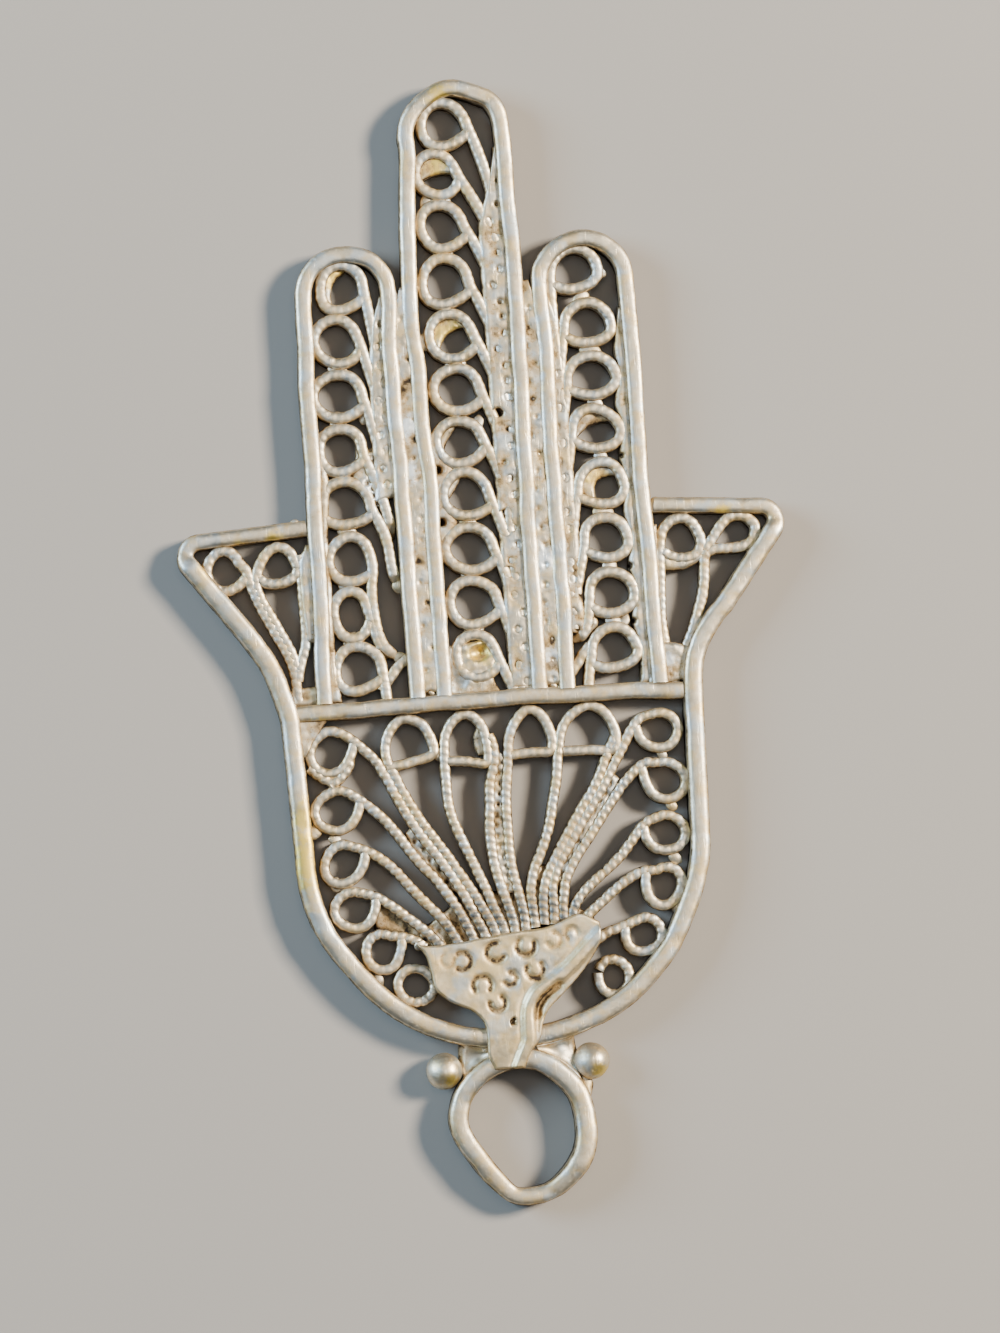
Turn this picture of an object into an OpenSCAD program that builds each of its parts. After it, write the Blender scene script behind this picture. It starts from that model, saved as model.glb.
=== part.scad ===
// Filigree hamsa pendant: an open hand bent and soldered from silver wire, lying on its
// flat back with the front up and the fingers towards +Y. Half-round wire makes the rim,
// the finger frames and the cross bar, and milled ribbon on edge makes the scrolls.
// A stamped fan plate joins the palm to a fixed bail ring at the wrist.
// Millimetres. The origin is the middle of the outline, on the surface that it lies on.

/* [Frame wire] */
// Width of the half-round rim wire round the palm and thumbs
rim_w = 1.05; // [0.9:0.05:1.2]
// Depth of the rim wire, from its flat back to its crown
rim_h = 1.8; // [1.6:0.05:2.2]
// Width of the half-round wire of the finger frames
finger_wire_w = 0.8; // [0.65:0.05:0.95]
// Depth of the finger frames and of the cross bar
finger_wire_h = 1.65; // [1.45:0.05:2]
// Width of the cross bar between palm and fingers
bar_w = 0.8; // [0.6:0.05:1.2]
// Diameter of the twisted wire between two fingers
twist_d = 0.6; // [0.45:0.05:0.8]
// Solder line left open between neighbouring pieces
solder_gap = 0.04; // [0.02:0.01:0.08]

/* [Palm] */
// Half of the palm's width, to the outside of the rim
palm_half_w = 11; // [10.4:0.1:12.5]
// Straight side of the palm, from the cross bar to the round end
palm_side = 7.5; // [6.5:0.1:9]

/* [Fingers] */
// Length of the middle finger above the cross bar's middle line
middle_len = 33.3; // [28:0.1:38]
// Half of the middle finger's width
middle_half_w = 2.95; // [2.7:0.05:3.3]
// Length of a side finger above the cross bar's middle line
side_len = 24.7; // [20:0.1:28]
// Width of a side finger at its round top
side_w = 5.42; // [5:0.02:5.8]
// How much wider a side finger stands at the cross bar
side_spread = 0.7; // [0.3:0.05:0.9]

/* [Thumbs] */
// Distance of a thumb's tip from the middle line
thumb_reach = 16.3; // [15:0.1:18]
// Height of the tip's centre above the cross bar's middle line
thumb_rise = 8.65; // [8:0.05:10]
// Outer radius of a thumb's round tip
thumb_tip_r = 1.3; // [1.2:0.05:1.5]
// Angle of a thumb's straight lower edge from level
thumb_slope = 49; // [45:1:53]
// Radius of the hollow curve from the palm's side to the thumb
thumb_hollow_r = 7.2; // [5.5:0.1:8.5]
// Angle by which a thumb's top edge falls towards the tip
thumb_fall = 4; // [0:1:8]

/* [Scroll wire] */
// Width of the milled ribbon seen from the front
scroll_w = 0.5; // [0.4:0.02:0.6]
// Depth of the milled ribbon
scroll_h = 1.3; // [1:0.05:1.4]
// Distance between the loops of one column, aimed at
scroll_pitch = 2.85; // [2.6:0.05:3]
// Width of a stem, two ribbons side by side
stem_w = 0.72; // [0.6:0.02:0.76]

/* [Fan plate] */
// Width of the plate's top edge
plate_w = 9.1; // [8:0.1:10]
// Height of the fan, from its neck to its top edge
fan_len = 5; // [4.4:0.1:5.4]
// Thickness of the plate over the scrolls
plate_t = 0.8; // [0.7:0.05:1.1]
// Lean of the plate's middle line to the right
plate_lean = 4; // [0:1:7]
// Slant of the top edge, up to the right
plate_slant = 7; // [0:1:10]
// Width of the neck that laps the rim and the bail ring
neck_w = 2.6; // [2.2:0.1:3.2]
// Radius of a stamped crescent
crescent_r = 0.5; // [0.35:0.05:0.6]
// Depth of the stamping
stamp_depth = 0.15; // [0.1:0.05:0.2]
// Height of the raised edge on the plate's right side
ridge_h = 0.2; // [0.1:0.05:0.3]

/* [Bail ring] */
// Width of the ring's hole
ring_hole_w = 5.6; // [5.4:0.1:6.4]
// Height of the ring's hole
ring_hole_h = 6.3; // [6.2:0.1:7.2]
// Radius of the hole's narrow lower end
ring_nose_r = 1.4; // [1.3:0.1:1.7]
// Width of the ring's half-round wire
ring_w = 1.1; // [0.9:0.05:1.4]
// Depth of the ring's wire
ring_h = 1.8; // [1.6:0.05:2]

/* [Balls] */
// Radius of the two solid balls at the bail ring's shoulders
ball_r = 1; // [0.8:0.05:1.2]
// Strip of seat that shows between the rim and a ball
seat_lip = 0.55; // [0.3:0.05:0.8]
// Thickness of the flat seat under a ball
seat_t = 0.8; // [0.5:0.05:1.1]

/* [Hidden] */
$fn = 64;

// Places are worked out from the cross bar's middle line, and the whole hand is then moved
// so that its outline is centred on the origin.
palm_centre = [0, -palm_side];
palm_end_y = -palm_side - palm_half_w;
ring_top_r = ring_hole_w / 2;
ring_centre = [0, palm_end_y - solder_gap - ring_w - ring_top_r];
ring_end_y = ring_centre.y + ring_top_r - ring_hole_h - ring_w;
middle_shift = [0, -(middle_len + ring_end_y) / 2, 0];

rim_side_x = palm_half_w - rim_w / 2;
rim_inner_x = palm_half_w - rim_w - solder_gap;
bar_top_y = bar_w / 2 + solder_gap;
bar_low_y = -bar_top_y;

// Thumb: tip centre, tip radius on the wire's middle line, and where the hollow curve starts.
tip_r = thumb_tip_r - rim_w / 2;
tip_centre = [thumb_reach - thumb_tip_r, thumb_rise];
hollow_run = thumb_hollow_r * (1 - sin(thumb_slope));
hollow_y = thumb_rise - thumb_hollow_r * cos(thumb_slope)
    - (tip_r + (tip_centre.x - rim_side_x - hollow_run) * sin(thumb_slope)) / cos(thumb_slope);
hollow_centre = [rim_side_x + thumb_hollow_r, hollow_y];

// Side finger: its round top, and the lean of its outer leg out to the cross bar.
side_inner_x = middle_half_w + twist_d + 2 * solder_gap;
side_top_r = side_w / 2;
side_top = [side_inner_x + side_top_r, side_len - side_top_r];
side_mid_r = side_top_r - finger_wire_w / 2;
side_foot = [side_top.x + side_mid_r + side_spread, bar_top_y];
side_reach = side_foot - side_top;
side_lean = acos(side_mid_r / norm(side_reach)) - atan2(-side_reach.y, side_reach.x);

middle_top = [0, middle_len - middle_half_w];

loop_r = scroll_pitch / 2;
loop_overlap = 0.04;
tail_w = 0.9 * scroll_w;
curve_steps = 8;
crown_steps = 6;
arc_step = 6;

function on_circle(centre, r, angle) = centre + r * [cos(angle), sin(angle)];
function along(angle) = [cos(angle), sin(angle)];
function mirrored(p) = [-p.x, p.y];
function left_of(v) = [-v.y, v.x];
function unit(v) = v / norm(v);
function distinct(path) = [for (i = [0:len(path) - 1])
    if (i == 0 || norm(path[i] - path[i - 1]) > 0.001) path[i]];
function mix(a, b, share) = a + (b - a) * share;

// Point at share t of the cubic curve with end points and handles p.
function bezier(p, t) = pow(1 - t, 3) * p[0] + 3 * t * pow(1 - t, 2) * p[1]
    + 3 * t * t * (1 - t) * p[2] + pow(t, 3) * p[3];
function curve(p) = [for (i = [0:curve_steps]) bezier(p, i / curve_steps)];

// Distance of the side finger's outer leg from the middle line, at height y, on the side of
// the leg that lies "off" from its middle line.
function leg_x(y, off) = side_foot.x - (y - side_foot.y) * tan(side_lean) + off / cos(side_lean);

// Points of an arc about a centre, from one angle to another.
function arc(centre, r, from, to) =
    let (steps = max(2, ceil(abs(to - from) / arc_step)))
    [for (i = [0:steps]) on_circle(centre, r, mix(from, to, i / steps))];

// Section of half-round wire as [across, up] points: a flat back, upright sides, a round crown.
function wire_section(w, h) =
    let (crown_r = 0.56 * w, half_arc = asin(w / 2 / crown_r))
    concat(
        [[w / 2, 0], [-w / 2, 0]],
        [for (i = [0:crown_steps])
            let (turn = mix(-half_arc, half_arc, i / crown_steps))
            [crown_r * sin(turn), h - crown_r * (1 - cos(turn))]]
    );

// Vector across a wire, to its left, that keeps its width in a bend between two headings, or
// at an end that is cut along an angle.
function bend_across(before, after) =
    let (across = unit(left_of(before + after))) across / (across * left_of(before));
function end_across(heading, cut) =
    cut == undef ? left_of(heading) : along(cut) / (along(cut) * left_of(heading));

// Half-round wire swept along a path. Each end is square, or cut along the angle given.
module wire(path, w, h, start_cut = undef, end_cut = undef, closed = false) {
    count = len(path);
    section = wire_section(w, h);
    ring = len(section);
    laps = closed ? count : count - 1;
    head = [for (i = [0:count - 1]) unit(path[(i + 1) % count] - path[i])];
    across = [for (i = [0:count - 1])
        !closed && i == 0 ? end_across(head[0], start_cut)
        : !closed && i == count - 1 ? end_across(head[count - 2], end_cut)
        : bend_across(head[(i + count - 1) % count], head[i])];
    polyhedron(
        points = [for (i = [0:count - 1], p = section)
            [path[i].x + p[0] * across[i].x, path[i].y + p[0] * across[i].y, p[1]]],
        faces = concat(
            [for (i = [0:laps - 1], j = [0:ring - 1])
                let (here = i * ring, next = (i + 1) % count * ring, k = (j + 1) % ring)
                [here + j, here + k, next + k, next + j]],
            closed ? [] : [
                [for (j = [ring - 1:-1:0]) j],
                [for (j = [0:ring - 1]) (count - 1) * ring + j]
            ]
        )
    );
}

// Rim: from the palm's low point up its right side and round the thumb to the finger's leg.
tip_high = on_circle(tip_centre, tip_r, 90 - thumb_fall);
leg_face = leg_x(tip_high.y, finger_wire_w / 2 + solder_gap);
top_run = (tip_high.x - leg_face) / (1 - tan(thumb_fall) * tan(side_lean)) / cos(thumb_fall);
rim_path = concat(
    arc(palm_centre, rim_side_x, -90, 0),
    arc(hollow_centre, thumb_hollow_r, 180, 90 + thumb_slope),
    arc(tip_centre, tip_r, thumb_slope - 90, 90 - thumb_fall),
    [tip_high + top_run * along(180 - thumb_fall)]
);

module hand_rim() {
    last = len(rim_path) - 1;
    left_path = [for (i = [last:-1:1]) mirrored(rim_path[i])];
    color("silver") translate(middle_shift)
        wire(concat(left_path, rim_path), rim_w, rim_h, 90 - side_lean, 90 + side_lean);
}

module cross_bar() {
    end = [rim_inner_x, 0];
    color("silver") translate(middle_shift) wire([mirrored(end), end], bar_w, finger_wire_h);
}

module middle_finger_frame() {
    foot = [middle_half_w - finger_wire_w / 2, bar_top_y];
    path = concat([foot], arc(middle_top, foot.x, 0, 180), [mirrored(foot)]);
    color("silver") translate(middle_shift) wire(path, finger_wire_w, finger_wire_h);
}

// The outer leg leans out and is cut level at the bar.
module side_frame() {
    inner_foot = [side_inner_x + finger_wire_w / 2, bar_top_y];
    path = concat([side_foot], arc(side_top, side_mid_r, side_lean, 180), [inner_foot]);
    wire(path, finger_wire_w, finger_wire_h, start_cut = 180);
}

module left_finger_frame() {
    color("silver") translate(middle_shift) mirror([1, 0, 0]) side_frame();
}

module right_finger_frame() {
    color("silver") translate(middle_shift) side_frame();
}

// Round wire that fills the slot between the middle finger and a side finger.
module twisted_wire() {
    x = middle_half_w + solder_gap + twist_d / 2;
    z = finger_wire_h - twist_d / 2 - 0.15;
    translate([x, bar_top_y, z]) rotate([-90, 0, 0]) cylinder(d = twist_d, h = side_top.y - bar_top_y);
    translate([x, side_top.y, z]) sphere(d = twist_d);
}

module left_twisted_wire() {
    color("lightgray") translate(middle_shift) mirror([1, 0, 0]) twisted_wire();
}

module right_twisted_wire() {
    color("lightgray") translate(middle_shift) twisted_wire();
}

// Ribbon on edge along a path.
module ribbon(path, w, h) {
    last = len(path) - 1;
    side = [for (i = [0:last]) left_of(unit(path[min(i + 1, last)] - path[max(i - 1, 0)])) * w / 2];
    linear_extrude(h) polygon(concat(
        [for (i = [0:last]) path[i] + side[i]],
        [for (i = [last:-1:0]) path[i] - side[i]]
    ));
}

module loop(centre, outer_r) {
    translate([centre.x, centre.y, 0]) difference() {
        cylinder(r = outer_r, h = scroll_h);
        translate([0, 0, -1]) cylinder(r = outer_r - scroll_w, h = scroll_h + 2);
    }
}

// The ribbon's run out of a loop: it leaves at an angle of the loop, turning on to the left
// (turn 1) or to the right (turn -1), and ends at the foot with the heading given.
module tail(centre, outer_r, leave, turn, foot, foot_heading, pull, w) {
    start = on_circle(centre, outer_r - 0.54 * w, leave);
    start_handle = start + pull * along(leave + 90 * turn);
    foot_handle = foot - pull * along(foot_heading);
    path = curve([start, start_handle, foot_handle, foot]);
    difference() {
        ribbon(path, w, scroll_h);
        translate([centre.x, centre.y, -1]) cylinder(r = outer_r - scroll_w, h = scroll_h + 2);
    }
}

// Column of loops inside a finger. The loops stand along the ring side (1 right, -1 left), and
// their tails sweep over to a strand along the other side. The top loop leans to the middle.
TOP_LOOP_LEAN = 30;
TAIL_LEAVE = 20;
module column(top_centre, inner_r, ring_side) {
    rise = inner_r - solder_gap - loop_r;
    first = top_centre + rise * along(90 - TOP_LOOP_LEAN * ring_side);
    last_y = bar_top_y + loop_r + scroll_w;
    count = 1 + round((first.y - last_y) / scroll_pitch);
    pitch = (first.y - last_y) / (count - 1);
    outer_r = pitch / 2 + loop_overlap / 2;
    ring_x = top_centre.x + ring_side * (inner_r - solder_gap - outer_r);
    strand_x = top_centre.x - ring_side * (inner_r - scroll_w / 2);
    for (i = [0:count - 1]) {
        centre = i == 0 ? first : [ring_x, first.y - i * pitch];
        foot = [strand_x, max(centre.y - 0.85 * pitch, bar_top_y + scroll_w / 2)];
        loop(centre, outer_r);
        tail(centre, outer_r, 90 + TAIL_LEAVE * ring_side, ring_side, foot, -90, 0.45 * pitch, tail_w);
    }
    ribbon([[strand_x, bar_top_y], [strand_x, first.y - 0.6 * pitch]], 0.8 * scroll_w, scroll_h);
}

// Inside of a finger frame, clear of its wire by the solder line.
module finger_inside(top_centre, inner_r, foot_x) {
    clear_r = inner_r - solder_gap;
    translate([top_centre.x, top_centre.y, 0]) cylinder(r = clear_r, h = scroll_h);
    linear_extrude(scroll_h) polygon([
        [top_centre.x - clear_r, bar_top_y],
        [foot_x, bar_top_y],
        [top_centre.x + clear_r, top_centre.y],
        [top_centre.x - clear_r, top_centre.y]
    ]);
}

module middle_finger_scrolls() {
    inner_r = middle_half_w - finger_wire_w;
    color("gainsboro") translate(middle_shift) intersection() {
        column(middle_top, inner_r, -1);
        finger_inside(middle_top, inner_r, inner_r - solder_gap);
    }
}

module side_scrolls() {
    inner_r = side_top_r - finger_wire_w;
    wedge_x = side_top.x + inner_r - solder_gap;
    foot_x = leg_x(bar_top_y, -finger_wire_w / 2 - solder_gap);
    intersection() {
        union() {
            column(side_top, inner_r, 1);
            // Strand that fills the widening between the loops and the leaning leg.
            linear_extrude(scroll_h) polygon([
                [wedge_x - scroll_w / 4, bar_top_y],
                [foot_x, bar_top_y],
                [wedge_x, side_top.y],
                [wedge_x - scroll_w / 4, side_top.y - scroll_pitch]
            ]);
        }
        finger_inside(side_top, inner_r, foot_x);
    }
}

module left_finger_scrolls() {
    color("gainsboro") translate(middle_shift) mirror([1, 0, 0]) side_scrolls();
}

module right_finger_scrolls() {
    color("gainsboro") translate(middle_shift) side_scrolls();
}

// Thumb's inside, clear of the rim and the leg by the solder line. Its top and lower edges close
// in on the tip, and the outer loop touches both of them there.
inside_off = rim_w / 2 + solder_gap;
leg_off = finger_wire_w / 2 + solder_gap;
inside_tip_r = tip_r - inside_off;
tip_wedge = thumb_slope + thumb_fall;
outer_loop_r = 0.78 * loop_r;
outer_loop_place = tip_centre
    + (outer_loop_r - inside_tip_r) / sin(tip_wedge / 2) * along(180 + (thumb_slope - thumb_fall) / 2);

// Height of the top edge of a thumb's inside, at x.
function inside_top_y(x) =
    tip_centre.y + inside_tip_r * cos(thumb_fall) + (tip_centre.x - x) * tan(thumb_fall);

module thumb_inside() {
    hollow_end = on_circle(hollow_centre, thumb_hollow_r + inside_off, 90 + thumb_slope);
    corner_x = leg_x(tip_centre.y, leg_off);
    difference() {
        linear_extrude(scroll_h) polygon([
            [leg_x(bar_top_y, leg_off), bar_top_y],
            [hollow_end.x, bar_top_y],
            hollow_end,
            on_circle(tip_centre, inside_tip_r, thumb_slope - 90),
            on_circle(tip_centre, inside_tip_r, 90 - thumb_fall),
            [corner_x, inside_top_y(corner_x)]
        ]);
        translate([hollow_centre.x, hollow_centre.y, -1])
            cylinder(r = thumb_hollow_r + inside_off, h = scroll_h + 2);
    }
}

// The inner loop touches the leg, the top edge and the outer loop, which gives its radius.
module thumb_scrolls() {
    edge = [leg_x(outer_loop_place.y, leg_off), inside_top_y(outer_loop_place.x - 2 * outer_loop_r)];
    run = outer_loop_place.x - edge.x;
    drop = edge.y - outer_loop_place.y;
    reach = outer_loop_r - loop_overlap;
    span = run + drop + reach;
    inner_loop_r = span - sqrt(pow(span, 2) - pow(run, 2) - pow(drop, 2) + pow(reach, 2));
    inner = [edge.x + inner_loop_r, edge.y - inner_loop_r];
    foot = [leg_x(bar_top_y, leg_off) + stem_w / 2, bar_top_y + scroll_w];
    intersection() {
        union() {
            loop(inner, inner_loop_r);
            loop(outer_loop_place, outer_loop_r);
            tail(inner, inner_loop_r, -10, -1, foot, -100, 0.9 * scroll_pitch, stem_w);
        }
        thumb_inside();
    }
}

module left_thumb_scrolls() {
    color("gainsboro") translate(middle_shift) mirror([1, 0, 0]) thumb_scrolls();
}

module right_thumb_scrolls() {
    color("gainsboro") translate(middle_shift) thumb_scrolls();
}

// Fan plate in its own frame: the neck's middle at the rim is the origin, +Y runs up its
// middle line, and the fan slants more and more towards its top edge.
plate_pivot = [0, palm_end_y + rim_w / 2];
neck_up = 1.5 * rim_w;
lean_pivot = [0, fan_len / 2];
fan_skew = tan(plate_slant + plate_lean);
// Half widths and heights of the fan above the neck, as shares of the top edge and the fan.
FAN_SIDE = [[0.5, 0.2], [0.82, 0.45], [0.97, 0.7], [1, 1]];
FAN_HALF = 0;
FAN_RISE = 1;

function fan_point(across, rise) =
    let (x = across * plate_w / 2) [x, neck_up + rise * (fan_len + x * fan_skew)];
function plate_point(p) = let (q = p - lean_pivot) plate_pivot + lean_pivot
    + [q.x * cos(plate_lean) + q.y * sin(plate_lean), q.y * cos(plate_lean) - q.x * sin(plate_lean)];
// Point of the plate's top edge, at a share of it from the left tip to the right one.
function plate_edge(share) = plate_point(fan_point(2 * share - 1, 1));

// Top row of palm loops: place across the palm's inside, share of the plate's top edge where
// the stem ends, angle of the loop where the stem leaves, and the way it turns.
TOP_ROW = [
    [-0.485, 0.31, 185, 1],
    [-0.16, 0.39, 180, 1],
    [-0.16, 0.47, -5, -1],
    [0.2, 0.54, 180, 1],
    [0.49, 0.63, 178, 1]
];
ACROSS = 0;
TOP_FOOT = 1;
TOP_LEAVE = 2;
TOP_TURN = 3;

// Loops down the palm's right side from the corner: share of the top edge from the near tip
// where the stem ends, and the angle of the loop where it leaves.
SIDE_ROW = [[0.27, 140], [0.19, 128], [0.12, 124], [0.05, 114], [0, 104], [0, 150]];
SIDE_FOOT = 0;
SIDE_LEAVE = 1;

side_loop_r = loop_r - 0.02;
side_path_r = rim_inner_x - side_loop_r;
corner_y = bar_low_y - side_loop_r - 2 * solder_gap;
// The lowest side loop stands at this angle below level, seen from the palm's centre.
last_loop_angle = 55;
side_drop = corner_y + palm_side;
side_run = side_drop + side_path_r * last_loop_angle * PI / 180;

// Place along the side path, straight down and then round the palm's end.
function side_place(run) = run < side_drop
    ? [side_path_r, corner_y - run]
    : on_circle(palm_centre, side_path_r, -(run - side_drop) / side_path_r * 180 / PI);

// Stem from a palm loop to the plate's top edge, and on under the plate.
module stem(centre, outer_r, leave, turn, share) {
    foot = plate_edge(share);
    heading = plate_point([0, 0]) - foot;
    heading_angle = atan2(heading.y, heading.x);
    pull = 0.36 * norm(foot - centre);
    tail(centre, outer_r, leave, turn, foot + scroll_w * unit(heading), heading_angle, pull, stem_w);
}

module palm_inside() {
    translate([0, -palm_side, 0]) cylinder(r = rim_inner_x, h = scroll_h);
    translate([-rim_inner_x, -palm_side, 0]) cube([2 * rim_inner_x, palm_side + bar_low_y, scroll_h]);
}

module side_row(mirrored_row) {
    count = len(SIDE_ROW);
    for (i = [0:count - 1]) {
        place = side_place(i * side_run / (count - 1));
        centre = mirrored_row ? mirrored(place) : place;
        leave = SIDE_ROW[i][SIDE_LEAVE];
        share = SIDE_ROW[i][SIDE_FOOT];
        loop(centre, side_run / (count - 1) / 2 + loop_overlap);
        if (i < count - 1)
            stem(centre, side_loop_r, mirrored_row ? 180 - leave : leave, mirrored_row ? -1 : 1,
                mirrored_row ? share : 1 - share);
    }
}

module palm_scrolls() {
    top_r = 1.08 * loop_r;
    top_y = bar_low_y - 2 * solder_gap - top_r;
    bed_low = 1.6 * scroll_w;
    color("gainsboro") translate(middle_shift) {
        intersection() {
            union() {
                for (row = TOP_ROW) {
                    centre = [row[ACROSS] * rim_inner_x, top_y];
                    loop(centre, top_r);
                    stem(centre, top_r, row[TOP_LEAVE], row[TOP_TURN], row[TOP_FOOT]);
                }
                side_row(false);
                side_row(true);
            }
            palm_inside();
        }
        // Solder bed that joins the stems' ends at the plate's top edge.
        linear_extrude(0.6 * scroll_h) polygon([
            plate_edge(0) + [0, scroll_w],
            plate_edge(1) + [0, scroll_w],
            plate_edge(1) - [0, bed_low],
            plate_edge(0) - [0, bed_low]
        ]);
    }
}

// Small horseshoe crescent, as stamped on the plate.
module crescent() {
    difference() {
        cylinder(r = crescent_r, h = 2 * stamp_depth);
        translate([0, 0.45 * crescent_r, -1]) cylinder(r = 0.72 * crescent_r, h = 2);
    }
}

// Stamped crescents: place across as a share of the top edge's half, place up the fan, and turn.
STAMPS = [
    [-0.6, 0.82, 20], [-0.2, 0.84, -15], [0.2, 0.84, 40], [0.62, 0.86, -30],
    [-0.42, 0.58, 60], [-0.02, 0.56, -60], [0.34, 0.58, 10],
    [-0.16, 0.32, 30], [0.12, 0.3, -40]
];
STAMP_ACROSS = 0;
STAMP_UP = 1;
STAMP_TURN = 2;

// Full-section groove for a half-round wire, along an arc and clear by the solder line.
module groove(centre, r, from, to, w, h) {
    wire(arc(centre, r, from, to), w + 2 * solder_gap, h + solder_gap);
}

module fan_plate() {
    low = scroll_h + solder_gap;
    half_neck = neck_w / 2;
    foot_y = ring_centre.y + ring_top_r - plate_pivot.y;
    right_side = [for (row = FAN_SIDE) fan_point(row[FAN_HALF], row[FAN_RISE])];
    left_side = [for (i = [len(FAN_SIDE) - 1:-1:0]) fan_point(-FAN_SIDE[i][FAN_HALF], FAN_SIDE[i][FAN_RISE])];
    outline = concat(
        [[-half_neck, foot_y], [half_neck, foot_y], [half_neck, neck_up]],
        right_side,
        left_side,
        [[-half_neck, neck_up]]
    );
    // The raised edge runs from the right tip down to the neck.
    ridge = [for (p = concat([[half_neck, 0], [half_neck, neck_up]], right_side)) p - [scroll_w / 2, 0]];
    color("silver") translate(middle_shift) difference() {
        translate([plate_pivot.x, plate_pivot.y, low])
            translate(lean_pivot) rotate([0, 0, -plate_lean]) translate(-lean_pivot) difference() {
                union() {
                    linear_extrude(plate_t) polygon(outline);
                    ribbon(ridge, 0.8 * scroll_w, plate_t + ridge_h);
                }
                for (row = STAMPS) {
                    place = fan_point(row[STAMP_ACROSS], row[STAMP_UP]);
                    translate([place.x, place.y, plate_t - stamp_depth]) rotate(row[STAMP_TURN]) crescent();
                }
                translate([0, 0.7 * neck_up, plate_t - stamp_depth])
                    cylinder(r = crescent_r / 2, h = 2 * stamp_depth);
            }
        // Grooves that seat the plate on the rim's and the bail ring's crowns.
        groove(palm_centre, rim_side_x, -114, -66, rim_w, rim_h);
        groove(ring_centre, ring_top_r + ring_w / 2, 24, 156, ring_w, ring_h);
        translate([ring_centre.x, ring_centre.y, 0]) cylinder(r = ring_top_r, h = 2 * (low + plate_t));
    }
}

// Bail ring: a round top, two flatter flanks and a narrow nose, each arc running on into the next.
nose_drop = ring_hole_h - ring_top_r - ring_nose_r;
flank_r = (pow(ring_top_r, 2) + pow(nose_drop, 2) - pow(ring_nose_r, 2)) / (2 * (ring_top_r - ring_nose_r));
flank_centre = [ring_top_r - flank_r, 0];
flank_angle = atan2(nose_drop, -flank_centre.x);

module bail_ring() {
    half = ring_w / 2;
    nose_centre = ring_centre - [0, nose_drop];
    right = concat(
        arc(nose_centre, ring_nose_r + half, -90, -flank_angle),
        arc(ring_centre + flank_centre, flank_r + half, -flank_angle, 0),
        arc(ring_centre, ring_top_r + half, 0, 90)
    );
    last = len(right) - 1;
    left = [for (i = [last - 1:-1:1]) mirrored(right[i])];
    color("silver") translate(middle_shift) wire(distinct(concat(right, left)), ring_w, ring_h, closed = true);
}

// A ball stands against the ring's shoulder, off the rim by the seat's lip: the crossing of
// two circles about the palm's and the ring's centres.
ball_rim_r = palm_half_w + seat_lip + ball_r;
ball_ring_r = ring_top_r + ring_w + solder_gap + ball_r;
centre_span = palm_centre.y - ring_centre.y;
ball_up = (pow(centre_span, 2) + pow(ball_ring_r, 2) - pow(ball_rim_r, 2)) / (2 * centre_span);
ball_place = ring_centre + [sqrt(pow(ball_ring_r, 2) - pow(ball_up, 2)), ball_up];

module ball() {
    translate([ball_place.x, ball_place.y, ball_r]) sphere(ball_r);
}

// Round cut through a seat.
module drill(centre, r) {
    translate([centre.x, centre.y, -1]) cylinder(r = r, h = seat_t + 2, $fn = 180);
}

// Flat seat in the crotch between rim and ring, with a notch for the ball.
module ball_seat() {
    reach = ball_place.x + 0.8 * ball_r;
    root = 0.45 * ring_top_r;
    touch = ring_centre + (ball_ring_r - ball_r) * unit(ball_place - ring_centre);
    difference() {
        linear_extrude(seat_t) polygon([
            [root, palm_end_y + rim_w / 2],
            [reach, palm_end_y + rim_w],
            [reach, ball_place.y + 0.5 * ball_r],
            ball_place,
            touch,
            [root, ring_centre.y + ring_top_r]
        ]);
        drill(palm_centre, palm_half_w + solder_gap);
        drill(ring_centre, ring_top_r + ring_w + solder_gap);
        drill(ball_place, ball_r + solder_gap);
    }
}

module left_ball_seat() {
    color("darkgray") translate(middle_shift) mirror([1, 0, 0]) ball_seat();
}

module right_ball_seat() {
    color("darkgray") translate(middle_shift) ball_seat();
}

module left_ball() {
    color("silver") translate(middle_shift) mirror([1, 0, 0]) ball();
}

module right_ball() {
    color("silver") translate(middle_shift) ball();
}

hand_rim();
cross_bar();
left_finger_frame();
middle_finger_frame();
right_finger_frame();
left_twisted_wire();
right_twisted_wire();
left_finger_scrolls();
middle_finger_scrolls();
right_finger_scrolls();
left_thumb_scrolls();
right_thumb_scrolls();
palm_scrolls();
fan_plate();
bail_ring();
left_ball_seat();
right_ball_seat();
left_ball();
right_ball();
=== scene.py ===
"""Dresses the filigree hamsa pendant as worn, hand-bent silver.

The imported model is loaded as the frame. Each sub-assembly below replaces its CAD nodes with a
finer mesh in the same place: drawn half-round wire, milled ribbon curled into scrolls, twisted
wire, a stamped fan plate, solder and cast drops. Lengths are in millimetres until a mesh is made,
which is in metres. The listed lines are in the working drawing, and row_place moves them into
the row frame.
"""

import logging
import math
import random
from collections.abc import Callable
from dataclasses import dataclass
from enum import Enum

import bmesh
import bpy
from mathutils import Matrix, Vector, noise


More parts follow.
